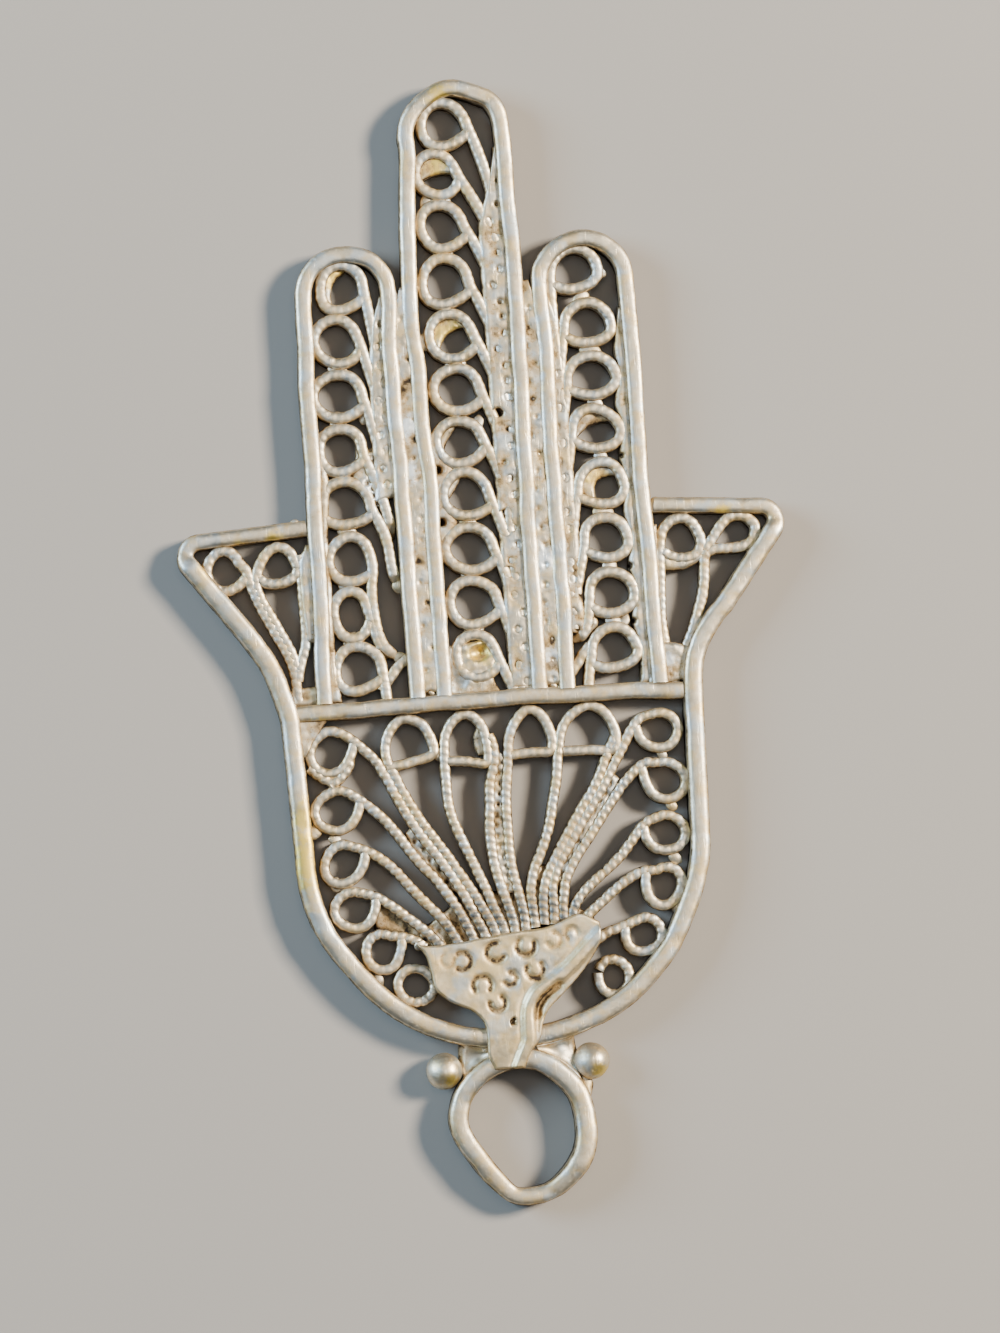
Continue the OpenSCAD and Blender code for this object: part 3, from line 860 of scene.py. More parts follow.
class SolderDropTree(WireTree):
    """Small lumps of run solder on points."""

    name = "solder_drops"
    inputs = {"Lump": 0.00008}

    def lay(self, lines: Port) -> Port:
        """Puts a flattened lump on each point and roughens it.

        Args:
            lines: Mesh of points.

        Returns:
            The lumps.
        """
        g = self.g
        size = self.named("size")
        spin = g.node("FunctionNodeRandomValue", {"data_type": "FLOAT_VECTOR"}, seed=7)
        spin.inputs[0].default_value = (-0.2, -0.2, 0.0)
        spin.inputs[1].default_value = (0.2, 0.2, math.tau)
        drops = self.geo("InstanceOnPoints", points=lines, rotation=g.out(spin),
                         instance=self.geo("MeshIcoSphere", radius=1.0, subdivisions=3),
                         scale=g.combine(size, size * 0.75, size * 0.34))
        drops = self.geo("RealizeInstances", geometry=drops)
        drops = self.geo("RemoveAttribute", geometry=drops, name="size")
        lump = g.noise(self.geo("InputPosition"), 2600.0)
        return self.push(drops, (lump - 0.6) * self.given("Lump"))


@dataclass(frozen=True)
class Run:
    """One length of wire laid along a line.

    Attributes:
        points: The line in mm.
        closed: True if its ends are joined.
        relief: How deep its milling shows, from 0 to 1, for all points or for each.
        scale: Size against the tree's own section, for all points or for each.
    """

    points: list[Pair]
    closed: bool = False
    relief: float | list[float] = 1.0
    scale: float | list[float] = 1.0


YELLOW_STAINS = (
    (-10.4, -11.3, 2.0), (-10.2, -8.6, 1.2), (-10.1, -10.2, 1.3), (-9.4, -4.2, 1.0), (-12.7, 5.8, 0.6),
    (-11.0, 6.1, 0.6), (-14.5, 4.9, 0.7), (4.35, -23.1, 0.6), (-3.6, -23.0, 0.5), (12.9, 5.9, 0.8),
    (-0.6, 29.2, 0.9),
)
# Painted reflections: spots on the solder coloured cool white in place of the cool light's reflection.
PAINTED_REFLECTION_SPOTS = (
    (-5.65, 8.45, 0.8), (-3.6, 11.7, 1.0), (-3.55, 9.2, 0.7), (3.3, 4.3, 0.9), (3.3, -1.2, 0.8),
    (14.6, 4.6, 0.6), (9.4, -1.6, 0.7),
)
GOLDEN_SPOTS = (
    (-1.05, 25.5, 1.1), (-0.9, 16.6, 1.3), (-0.5, -0.5, 0.9), (-6.8, 20.0, 0.9), (6.4, 8.3, 0.8),
)
# Painted shade: grey spots on the palm's ribbons, most of them just above the fan plate's top edge.
PAINTED_SHADE_SPOTS = (
    (-3.6, -15.6, 1.3), (-2.4, -14.9, 1.5), (-0.9, -14.6, 1.5), (0.6, -14.4, 1.4), (2.1, -14.3, 1.3),
    (3.3, -14.6, 1.1), (-1.6, -9.4, 0.7),
)


class Workshop:
    """Makes finished pieces out of lines, trees and meshes, and keeps the finishes."""

    def __init__(self) -> None:
        """Builds the trees and the finishes."""
        self.drawn = DrawnWireTree()
        self.milled = MilledRibbonTree()
        self.twisted = TwistedPairTree()
        self.drops = SolderDropTree()
        finishes = {
            Slot.FRAME: SilverFinish("worn_frame_silver", stains=YELLOW_STAINS),
            Slot.FILIGREE: SilverFinish("worn_filigree_silver", gloss=0.42, dark_below=1.15, grain=0.01,
                                        shade_spots=PAINTED_SHADE_SPOTS),
            Slot.PLATE: SilverFinish("worn_plate_silver", bright=(0.86, 0.74, 0.5),
                                     dull=(0.6, 0.48, 0.28), gloss=0.44, grain=0.009),
            Slot.SOLDER: SilverFinish("grey_solder", bright=(0.7, 0.65, 0.53), dull=(0.42, 0.37, 0.28),
                                      gloss=0.46, grain=0.02, dark_below=0.85, stains=GOLDEN_SPOTS,
                                      shines=PAINTED_REFLECTION_SPOTS),
        }
        self.finish = {slot: finish.build() for slot, finish in finishes.items()}

    def line_mesh(self, name: str, runs: list[Run]) -> bpy.types.Mesh:
        """Mesh of edges along the runs, with their relief and size on its points.

        Args:
            name: Name of the mesh.
            runs: The lines.

        Returns:
            The mesh.
        """
        points, edges, relief, scale = [], [], [], []
        for run in runs:
            first, count = len(points), len(run.points)
            points += [(x * MM, y * MM, 0.0) for x, y in (HAND_WORK.bent(*point) for point in run.points)]
            relief += run.relief if isinstance(run.relief, list) else [run.relief] * count
            scale += run.scale if isinstance(run.scale, list) else [run.scale] * count
            edges += [(i, i + 1) for i in range(first, len(points) - 1)]
            if run.closed:
                edges.append((len(points) - 1, first))
        mesh = bpy.data.meshes.new(name)
        mesh.from_pydata(points, edges, [])
        keep(mesh, "relief", relief)
        keep(mesh, "wide", scale)
        return mesh

    def grow(self, name: str, node: str, mesh: bpy.types.Mesh, maker: WireTree, slot: Slot,
             **sizes: float) -> None:
        """Runs a tree on a mesh and keeps the result as a piece with a plain mesh.

        Args:
            name: Name of the piece.
            node: The node that it replaces.
            mesh: What the tree works on.
            maker: The tree.
            slot: The finish.
            **sizes: The tree's inputs in mm, by title in lower case.
        """
        carrier = stand(f"{name}_carrier", mesh)
        modifier = carrier.modifiers.new("grow", "NODES")
        modifier.node_group = maker.tree
        for item in maker.tree.interface.items_tree:
            key = item.name.lower().replace(" ", "_")
            if item.in_out == "INPUT" and key in sizes:
                modifier[item.identifier] = sizes[key] * MM
            elif item.in_out == "INPUT" and item.name == "Material":
                modifier[item.identifier] = self.finish[slot]
        evaluated = carrier.evaluated_get(bpy.context.evaluated_depsgraph_get())
        grown = bpy.data.meshes.new_from_object(evaluated)
        grown.name = name
        bpy.data.objects.remove(carrier)
        bpy.data.meshes.remove(mesh)
        self.place(name, node, grown, slot)

    def wire(self, name: str, node: str, runs: list[Run], maker: WireTree, slot: Slot,
             **sizes: float) -> None:
        """Lays wire along runs and keeps it as a piece, with what grow takes."""
        self.grow(name, node, self.line_mesh(f"{name}_lines", runs), maker, slot, **sizes)

    def ribbon(self, name: str, node: str, runs: list[Run], bolder: float = 0.1) -> None:
        """Lays milled ribbon along runs, so many mm wider than in the solids."""
        self.wire(name, node, runs, self.milled, Slot.FILIGREE, width=HAND.ribbon_w + bolder,
                  height=HAND.ribbon_h, crown=0.2, dent=0.035)

    def place(self, name: str, node: str, mesh: bpy.types.Mesh, slot: Slot) -> None:
        """Puts a mesh into the scene as a piece of the hand.

        Args:
            name: Name of the piece.
            node: The node that it replaces.
            mesh: Its mesh, in metres in the row frame.
            slot: The finish.
        """
        piece = stand(name, mesh)
        mesh.materials.clear()
        mesh.materials.append(self.finish[slot])
        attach(piece, "root")
        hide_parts(node)
        LOG.info("%s: %d faces", name, len(mesh.polygons))

    def solid(self, name: str, node: str, shape: bmesh.types.BMesh, slot: Slot) -> bpy.types.Mesh:
        """Keeps a bmesh as a smooth piece with outward faces.

        Args:
            name: Name of the piece.
            node: The node that it replaces.
            shape: The bmesh, which is used up.
            slot: The finish.

        Returns:
            The piece's mesh.
        """
        bmesh.ops.remove_doubles(shape, verts=shape.verts, dist=1e-7)
        bmesh.ops.recalc_face_normals(shape, faces=shape.faces)
        mesh = bpy.data.meshes.new(name)
        shape.to_mesh(mesh)
        shape.free()
        mesh.shade_smooth()
        self.place(name, node, mesh, slot)
        return mesh

    def slab(self, name: str, node: str, slot: Slot, rows: list[list[Vector]], floor: float,
             form: Callable[[Vector, int, int], Pair]) -> None:
        """Keeps a closed slab with a level underside and a shaped top as a piece.

        Args:
            name: Name of the piece.
            node: The node that it replaces.
            slot: The finish.
            rows: Grid of places in mm.
            floor: Height of the underside.
            form: Height and darkness of the top, from a place, its row and its column.
        """
        shape = bmesh.new()
        groove = shape.verts.layers.float.new("groove")
        upper, lower = [], []
        for i, row in enumerate(rows):
            upper.append([])
            for j, point in enumerate(row):
                height, dark = form(point, i, j)
                upper[-1].append(shape.verts.new(Vector((point.x, point.y, height)) * MM))
                upper[-1][-1][groove] = dark
        for row in rows:
            lower.append([shape.verts.new(Vector((p.x, p.y, floor)) * MM) for p in row])
        far, wide = len(rows) - 1, len(rows[0]) - 1
        for i in range(far):
            for j in range(wide):
                shape.faces.new((upper[i][j], upper[i][j + 1], upper[i + 1][j + 1], upper[i + 1][j]))
                shape.faces.new((lower[i + 1][j], lower[i + 1][j + 1], lower[i][j + 1], lower[i][j]))
        rim = ([(0, j) for j in range(wide + 1)] + [(i, wide) for i in range(1, far + 1)]
               + [(far, j) for j in range(wide - 1, -1, -1)] + [(i, 0) for i in range(far - 1, 0, -1)])
        for (i, j), (k, m) in zip(rim, rim[1:] + rim[:1]):
            shape.faces.new((upper[i][j], lower[i][j], lower[k][m], upper[k][m]))
        self.solid(name, node, shape, slot)


@dataclass(frozen=True)
class FrameWires:
    """The rim, the cross bar, the finger frames and the twisted wires."""

    hand: HandSizes = HAND
    bow_left: float = 0.38
    bow_right: float = 0.14
    sag: float = 0.12
    worn: float = 0.17

    def bow(self, side: Side) -> float:
        """How far a leg of the middle finger is bowed on one side."""
        return self.bow_left if side is Side.LEFT else self.bow_right

    def rim_line(self) -> list[Pair]:
        """Middle line of the rim.

        Returns:
            The line, from the left finger's leg round the palm to the right one.
        """
        h = self.hand
        side_x = h.palm_r - h.rim_w / 2
        tip_r = h.thumb_tip_r - h.rim_w / 2
        tip = (h.thumb_reach - h.thumb_tip_r, h.thumb_rise + h.drop)
        slope = math.radians(h.thumb_slope)
        run = h.hollow_r * (1 - math.sin(slope))
        hollow_y = (tip[1] - h.hollow_r * math.cos(slope)
                    - (tip_r + (tip[0] - side_x - run) * math.sin(slope)) / math.cos(slope))
        hollow = (side_x + h.hollow_r, hollow_y)
        high = on_circle(tip, tip_r, 90 - h.thumb_fall)
        back = high[0] - self.leg_x(high[1] + 0.3) - h.leg_w / 2 - h.gap
        right = (arc(h.palm_centre, side_x, -90, 0) + arc(hollow, h.hollow_r, 180, 90 + h.thumb_slope)
                 + arc(tip, tip_r, h.thumb_slope - 90, 90 - h.thumb_fall)
                 + [on_circle(high, back, 180 - h.thumb_fall)])
        return [HAND_WORK.pushed(x, y) for x, y in mirrored(right[:0:-1]) + right]

    def leg_x(self, y: float) -> float:
        """How far out a side finger's outer leg stands.

        Args:
            y: Height in mm.

        Returns:
            Distance of its middle line from the hand's.
        """
        h = self.hand
        top = h.side_top
        foot_x = top[0] + (h.side_w / 2 - h.leg_w / 2) + h.side_spread
        return foot_x - h.side_spread * ((y - h.drop) / (top[1] - h.drop))

    def side_line(self, side: Side) -> list[Pair]:
        """Middle line of a side finger's frame.

        Args:
            side: Which finger.

        Returns:
            The line, from its outer foot to its inner foot.
        """
        h = self.hand
        top = h.side_top
        mid_r = h.side_w / 2 - h.leg_w / 2
        half_y = (h.foot_y + top[1]) / 2
        outer = [(self.leg_x(h.foot_y), h.foot_y), (self.leg_x(half_y) - 0.05, half_y)]
        bow, heights = 0.5 * self.bow(side), (15.0, 10.0, 5.0, 0.0)
        inner = [(top[0] - mid_r + bow * HAND_WORK.bow(y), y) for y in heights]
        line = smooth_line(outer + arc(top, mid_r, 0, 165, 12) + inner + [(top[0] - mid_r, h.foot_y)])
        return line if side is Side.RIGHT else mirrored(line)

    def middle_line(self) -> list[Pair]:
        """Middle line of the middle finger's frame, bowed and with an angular right shoulder.

        Returns:
            The line, from its right foot to its left foot.
        """
        h = self.hand
        half = h.middle_half - h.leg_w / 2
        top = (0.0, h.middle_len - h.middle_half + h.drop - 0.08)
        heights = (3.0, 8.0, 13.0, 18.0, 22.0)
        right = [(half, h.foot_y)] + [(half + self.bow_right * HAND_WORK.bow(y), y) for y in heights]
        left = [(-half - self.bow_left * HAND_WORK.bow(y), y) for y in heights[::-1]] + [(-half, h.foot_y)]
        crown = [on_circle(top, half + push, angle) for angle, push in (
            (-6, 0.0), (12, 0.0), (28, 0.12), (42, 0.16), (56, 0.0), (72, -0.04), (88, 0.0),
            (104, 0.0), (122, -0.06), (140, -0.04), (158, 0.0), (178, 0.0), (196, 0.02))]
        return smooth_line(right + crown + left, 8)

    def make(self, shop: Workshop) -> None:
        """Builds and dresses the wires.

        Args:
            shop: Makes the pieces.
        """
        h = self.hand
        line = self.rim_line()
        sizes = [1.0 - self.worn * clamp((y - 4.9) / 0.8) for _, y in line]
        shop.wire("hand_rim_wire", "hand_rim", [Run(line, scale=sizes)], shop.drawn, Slot.FRAME,
                  width=h.rim_w, height=h.rim_h, crown=0.4, dent=0.045)
        reach = h.palm_r - h.rim_w - h.gap
        bar = [(reach * t, h.drop + self.sag * (0.5 - t * t)) for t in (-1.065, -0.6, -0.2, 0.2, 0.6, 1.02)]
        lines = {"cross_bar": smooth_line(bar, 8), "left_finger_frame": self.side_line(Side.LEFT),
                 "middle_finger_frame": self.middle_line(),
                 "right_finger_frame": self.side_line(Side.RIGHT)}
        for node, line in lines.items():
            shop.wire(f"{node.removesuffix('_frame')}_wire", node, [Run(line)], shop.drawn, Slot.FRAME,
                      width=h.leg_w + 0.1, height=h.leg_h, crown=0.3, dent=0.045)
        x, rise = h.middle_half + h.gap + h.twist_d / 2, h.side_top[1] - h.foot_y
        for side in Side:
            rows = [h.foot_y + rise * i / 12 for i in range(13)]
            line = [(side.value * (x + 0.8 * self.bow(side) * HAND_WORK.bow(y)), y) for y in rows]
            shop.wire(f"{side.word}_twisted_pair", f"{side.word}_twisted_wire", [Run(line)],
                      shop.twisted, Slot.FILIGREE, strand=0.36, lay=0.85, axis_height=1.08)


@dataclass(frozen=True)
class Curl:
    """One curled end of ribbon, in mm in the working drawing.

    Attributes:
        x: Middle of the curl.
        y: Middle of the curl.
        w: Outer width.
        h: Outer height.
        start: Angle at which the ribbon's end lies.
        sweep: Angle that the ribbon goes round, clockwise if negative.
        run: Points that it passes after the curl.
        tilt: Turn of the curl's long axis.
        squash: How flat the curl is on its lower side, 0 to 1.
        wobble: How uneven the curl is.
    """

    x: float
    y: float
    w: float
    h: float
    start: float
    sweep: float
    run: Line = ()
    tilt: float = 0.0
    squash: float = 0.0
    wobble: float = 0.035

    def line(self) -> list[Pair]:
        """Line of the curl and then of its run.

        Returns:
            The smooth line in the row frame.
        """
        ribbon = HAND.ribbon_w
        rx, ry = (self.w - ribbon) / 2, (self.h - ribbon) / 2
        lean = math.radians(self.tilt)
        count = max(6, round(abs(self.sweep) / 24))
        made = []
        for i in range(count + 1):
            turn = math.radians(self.start + self.sweep * i / count)
            far = 1 + self.wobble * math.sin(2 * turn + 5.1 * self.x + 2.3 * self.y)
            far += 0.6 * self.wobble * math.sin(3 * turn + 3.7 * self.y)
            u, v = far * rx * math.cos(turn), far * ry * math.sin(turn)
            if v < 0:
                v *= 1 - 0.3 * self.squash
                u *= 1 + 0.1 * self.squash
            made.append(Vector((self.x + u * math.cos(lean) - v * math.sin(lean),
                                self.y + u * math.sin(lean) + v * math.cos(lean))))
        if self.run:
            made = self.closed(made, ribbon)
        return drawn_line([(p.x, p.y) for p in made] + list(self.run))

    def closed(self, knots: list[Vector], ribbon: float) -> list[Vector]:
        """Bends the ribbon's end over until it touches its own run.

        Args:
            knots: Knots of the curl.
            ribbon: Width of the ribbon.

        Returns:
            The bent knots.
        """
        run = [knots[-2], knots[-1], *(Vector(p) for p in self.run)]
        pull = closest(knots[0], run) - knots[0]
        pull *= max(0.0, 1 - 0.12 * ribbon / max(1e-6, pull.length))
        return [knot + pull * max(0.0, 1 - i / 2.4) ** 1.5 for i, knot in enumerate(knots)]


@dataclass(frozen=True)
class Arch:
    """One pointed loop under the cross bar, closed by a bar and run on as a stem.

    Attributes:
        stem: Where its side on the stem stands.
        far: Where its other side stands.
        apex: Its point.
        bar: Height of its closing bar.
        run: Points of the stem.
        slope: How much the bar rises away from the stem.
    """

    stem: float
    far: float
    apex: Pair
    bar: float
    run: Line
    slope: float = 0.2

    def line(self) -> list[Pair]:
        """Line of the arch and then of its stem.

        Returns:
            The smooth line in the row frame.
        """
        ax, ay = self.apex
        reach, back = self.far - ax, self.stem - ax
        knots = [(self.stem, self.bar), ((self.stem + self.far) / 2, self.bar + 0.4 * self.slope),
                 (self.far - 0.1 * reach, self.bar + self.slope), (self.far, self.bar + 0.75),
                 (ax + 0.68 * reach, ay - 0.5), (ax + 0.2 * reach, ay - 0.06),
                 (ax + 0.2 * back, ay - 0.05), (ax + 0.7 * back, ay - 0.52), (ax + 0.98 * back, ay - 1.2)]
        return drawn_line(knots + list(self.run))


MIDDLE_CURLS = (
    (-0.42, 27.6, 2.85, 2.8, 0.0), (-0.88, 24.95, 2.6, 2.6, 8.0), (-0.86, 22.15, 2.7, 2.75, 0.0),
    (-0.86, 19.2, 2.8, 2.8, -6.0), (-0.68, 16.2, 2.85, 2.8, 0.0), (-0.6, 13.35, 2.9, 2.75, 14.0),
    (-0.6, 10.5, 2.95, 2.85, 8.0), (-0.55, 7.7, 2.9, 2.85, 0.0), (-0.52, 4.85, 2.95, 2.9, 0.0),
    (-0.5, 1.98, 2.95, 2.9, 0.0), (-0.5, -0.9, 2.5, 2.3, 24.0),
)
LEFT_CURLS = (
    (-6.4, 19.2, 2.8, 2.95, 0.0), (-6.85, 16.3, 2.9, 2.9, 0.0), (-6.95, 13.45, 2.9, 2.95, 0.0),
    (-7.0, 10.55, 2.8, 2.85, 0.0), (-6.95, 7.65, 3.0, 2.8, -8.0), (-6.95, 4.65, 2.6, 2.9, 0.0),
    (-6.98, 1.75, 2.5, 2.85, 10.0), (-6.9, -1.1, 2.85, 2.9, 0.0),
)
RIGHT_CURLS = (
    (6.08, 19.3, 2.9, 2.7, 0.0), (6.6, 16.4, 3.0, 2.85, 0.0), (6.65, 13.6, 3.0, 2.9, 0.0),
    (6.7, 10.75, 2.95, 2.85, 0.0), (6.8, 7.8, 2.85, 2.8, 0.0), (6.8, 4.9, 2.85, 2.95, 0.0),
    (6.85, 1.95, 2.9, 2.9, 0.0), (6.8, -1.0, 2.95, 2.95, 0.0),
)
LEFT_TAILS = {
    4: ((-5.55, 7.2), (-5.25, 6.6), (-5.0, 5.9), (-4.85, 5.1), (-4.72, 4.2), (-4.5, 3.5), (-4.15, 3.0)),
    5: ((-5.75, 4.1), (-5.78, 3.1), (-5.75, 2.0), (-5.68, 1.0), (-5.5, 0.1), (-5.05, -0.5),
        (-4.3, -0.85)),
    6: ((-5.85, 1.2), (-5.72, 0.4), (-5.58, -0.25), (-5.35, -0.75)),
    7: ((-5.6, -1.5), (-5.52, -2.1), (-5.45, -2.9)),
}
LEFT_BRACE = ((-4.25, -0.75), (-4.8, -1.2), (-5.3, -1.8), (-5.7, -2.4))
RIGHT_TAILS = {
    6: ((5.62, 1.6), (5.5, 0.8), (5.3, 0.1), (4.95, -0.25), (4.4, -0.3)),
    7: ((5.55, -1.3), (5.45, -2.0), (5.35, -2.9)),
}
RIGHT_BRACE = ((5.5, -0.7), (5.1, -1.2), (4.75, -1.75), (4.3, -2.3))


def cut_above(points: list[Pair], floor: float) -> Line:
    """Line cut off where it falls below a height.

    Args:
        points: The line, from its top down.
        floor: The height.

    Returns:
        The part above, with its cut end.
    """
    made = [points[0]]
    for (ax, ay), (bx, by) in zip(points, points[1:]):
        if by < floor:
            made.append((ax + (ay - floor) / (ay - by) * (bx - ax), floor))
            break
        made.append((bx, by))
    return tuple(made)


@dataclass(frozen=True)
class FingerScrolls:
    """Columns of curls in the fingers, whose runs sweep over to a strand on the other side."""

    hand: HandSizes = HAND
    reach: float = 4.3
    floor: float = -2.85
    bold: float = 1.04
    relief: float = 0.28

    def fading(self, count: int, fades: bool) -> list[float]:
        """Size along a run, which sinks into the solder at its end if it fades."""
        last = count - 1
        return [self.bold * (min(1.0, 0.55 + 0.06 * (last - i)) if fades else 1.0) for i in range(count)]

    def column(self, rows: tuple[tuple[float, ...], ...], tail_side: int, strand_x: float,
               squash: float, tails: dict[int, Line]) -> list[Run]:
        """Curls of one finger.

        Args:
            rows: Middle, outer size and tilt of each curl, from the top.
            tail_side: 1 if the runs go to the right, -1 to the left.
            strand_x: Where the runs gather.
            squash: How flat the curls are below.
            tails: Runs of the curls that don't gather, by their number from the top.

        Returns:
            The runs of ribbon.
        """
        runs = []
        for k, (x, y, width, height, tilt) in enumerate(rows):
            beside = [abs(row[1] - y) for row in rows[max(0, k - 1):k + 2] if row[1] != y]
            height = max(height, sum(beside) / len(beside) + 0.06)
            edge = x + tail_side * (width - self.hand.ribbon_w) / 2
            gap = strand_x - edge
            shares = ((0.34, 0.26), (0.6, 0.5), (0.86, 0.75))
            knots = [(edge + 0.12 * gap, y - 0.35)]
            knots += [(edge + over * gap, y - down * self.reach) for over, down in shares]
            knots += [(strand_x, y - self.reach), (strand_x, y - self.reach - 0.6)]
            lean = 9.0 * math.sin(2.4 * k + x)
            start, sweep = (-38.0 + lean, -298.0) if tail_side > 0 else (218.0 - lean, 298.0)
            run = tails.get(k) or cut_above(knots, self.floor)
            line = Curl(x, y, width, height, start, sweep, run, tilt, squash).line()
            runs.append(Run(line, relief=self.relief, scale=self.fading(len(line), run[-1][1] > self.floor)))
        return runs

    def strand(self, x: float, top: float, foot: float = -2.9) -> Run:
        """Straight ribbon down the side of a finger, faded at its top.

        Args:
            x: Where it stands.
            top: Height of its top.
            foot: Height of its foot.

        Returns:
            The run.
        """
        points = [(x + 0.05 * math.sin(2.1 * i), top + (foot - top) * i / 12) for i in range(13)]
        line = drawn_line(points, 4)
        return Run(line, relief=0.4, scale=self.fading(len(line), True)[::-1])

    def make(self, shop: Workshop) -> None:
        """Builds and dresses the three columns.

        Args:
            shop: Makes the pieces.
        """
        columns = {
            "middle_finger": self.column(MIDDLE_CURLS, 1, 2.05, 0.0, {})
            + [self.strand(2.3, 26.3), self.strand(1.78, 11.0)],
            "left_finger": self.column(LEFT_CURLS, 1, -4.65, 0.1, LEFT_TAILS)
            + [self.strand(-4.55, 17.0, 8.0), Run(drawn_line(LEFT_BRACE), relief=self.relief)],
            "right_finger": self.column(RIGHT_CURLS, -1, 4.75, 0.6, RIGHT_TAILS)
            + [self.strand(4.7, 17.0, 0.2), Run(drawn_line(RIGHT_BRACE), relief=self.relief)],
        }
        for finger, runs in columns.items():
            shop.ribbon(f"{finger}_ribbons", f"{finger}_scrolls", runs)


THUMB_CURLS = {
    Side.LEFT: (Curl(-13.62, 4.5, 2.35, 2.6, -30.0, -310.0, ((-12.48, 4.45), (-12.22, 3.65),
        (-11.85, 2.65), (-11.36, 1.65), (-10.84, 0.58), (-10.47, -0.34), (-10.2, -1.23), (-10.12, -1.94),
        (-10.1, -2.8))), Curl(-10.78, 4.4, 2.5, 2.75, 205.0, 300.0, ((-11.86, 4.3), (-11.93, 3.5),
        (-11.62, 2.65), (-11.16, 1.75), (-10.64, 0.65), (-10.27, -0.3), (-10.05, -1.1)), squash=1.0)),
    Side.RIGHT: (Curl(10.82, 4.55, 2.65, 2.75, 212.0, 318.0, ((9.62, 4.0), (9.56, 3.0), (9.52, 1.8),
        (9.5, 0.2), (9.56, -1.2), (9.62, -2.8)), squash=0.5),),
}
THUMB_STRANDS = {
    Side.LEFT: (((-9.6, 5.1), (-9.58, 3.5), (-9.55, 2.0), (-9.5, 0.95), (-9.56, 0.25), (-9.74, -0.35),
        (-9.95, -1.0), (-10.05, -1.6)),),
    Side.RIGHT: (((12.05, 3.95), (12.55, 4.6), (13.05, 5.25), (13.6, 5.66), (14.35, 5.6), (14.85, 5.05),
        (14.65, 4.4), (13.95, 4.12), (13.2, 4.08), (12.5, 4.03), (12.1, 3.78), (11.98, 3.0), (11.8, 1.8),
        (11.46, 0.7), (11.15, -0.15), (10.78, -1.0), (10.5, -1.8), (10.3, -2.8)),),
}


@dataclass(frozen=True)
class ThumbScrolls:
    """Two loops and their gathered runs in each thumb."""

    relief: float = 0.4

    def make(self, shop: Workshop) -> None:
        """Builds and dresses both thumbs.

        Args:
            shop: Makes the pieces.
        """
        for side in Side:
            lines = [curl.line() for curl in THUMB_CURLS[side]]
            lines += [drawn_line(strand) for strand in THUMB_STRANDS[side]]
            shop.ribbon(f"{side.word}_thumb_ribbons", f"{side.word}_thumb_scrolls",
                        [Run(line, relief=self.relief) for line in lines])


PALM_CURLS = (
    Curl(-8.65, -5.5, 2.65, 2.7, 8.0, -305.0, ((-7.55, -4.75), (-6.95, -5.35), (-6.25, -6.15),
         (-5.75, -7.1), (-5.2, -8.3), (-4.55, -9.5), (-3.75, -10.8), (-2.95, -12.0), (-2.3, -13.1),
         (-1.72, -14.3), (-1.25, -15.3), (-1.0, -16.0))),
    Curl(-8.5, -8.6, 2.7, 2.6, 8.0, -305.0, ((-7.45, -7.95), (-6.7, -8.55), (-5.9, -9.45),
         (-5.1, -10.5), (-4.4, -11.5), (-3.6, -12.5), (-2.9, -13.5), (-2.3, -14.5), (-1.85, -15.4),
         (-1.6, -16.1))),
    Curl(-8.35, -11.45, 2.5, 2.5, 10.0, -305.0, ((-7.2, -10.8), (-6.3, -11.35), (-5.5, -12.1),
         (-4.7, -13.1), (-4.0, -13.9), (-3.3, -14.7), (-2.75, -15.5), (-2.4, -16.2))),
    Curl(-7.95, -13.9, 2.4, 2.45, 10.0, -305.0, ((-6.85, -13.25), (-6.1, -13.7), (-5.3, -14.35),
         (-4.7, -14.9), (-4.1, -15.45), (-3.5, -16.1))),
    Curl(-6.6, -16.25, 2.4, 2.4, 10.0, -305.0, ((-5.6, -15.5), (-4.9, -15.75), (-4.3, -16.2))),
    Curl(-4.95, -18.1, 2.35, 2.3, 20.0, 352.0, ()),
    Curl(8.9, -5.45, 2.55, 2.45, 172.0, 300.0, ((7.95, -4.75), (7.25, -5.55), (6.75, -6.5), (6.2, -7.4),
         (5.65, -8.2), (5.0, -9.2), (4.3, -10.3), (3.6, -11.5), (3.0, -12.5), (2.68, -13.6), (2.66, -14.6),
         (2.65, -15.4))),
    Curl(9.1, -8.1, 2.45, 2.45, 164.0, 310.0, ((8.0, -7.15), (7.2, -7.75), (6.4, -8.6), (5.6, -9.7),
         (4.8, -10.9), (4.0, -12.1), (3.4, -13.2), (3.16, -14.3), (3.15, -15.2))),
    Curl(8.9, -10.95, 2.5, 2.5, 170.0, 305.0, ((7.75, -10.4), (7.1, -11.1), (6.5, -11.9), (5.7, -12.7),
         (4.8, -13.4), (4.1, -14.0), (3.7, -14.6), (3.6, -15.2))),
    Curl(8.6, -13.75, 2.45, 2.45, 165.0, 308.0, ((7.5, -12.9), (6.6, -13.35), (5.7, -14.0),
         (4.9, -14.6), (4.3, -15.1))),
    Curl(7.35, -16.25, 2.4, 2.35, 165.0, 308.0, ((6.3, -15.65), (5.4, -15.95), (4.8, -16.4))),
    Curl(5.55, -18.35, 2.2, 2.25, 160.0, 352.0, ()),
)
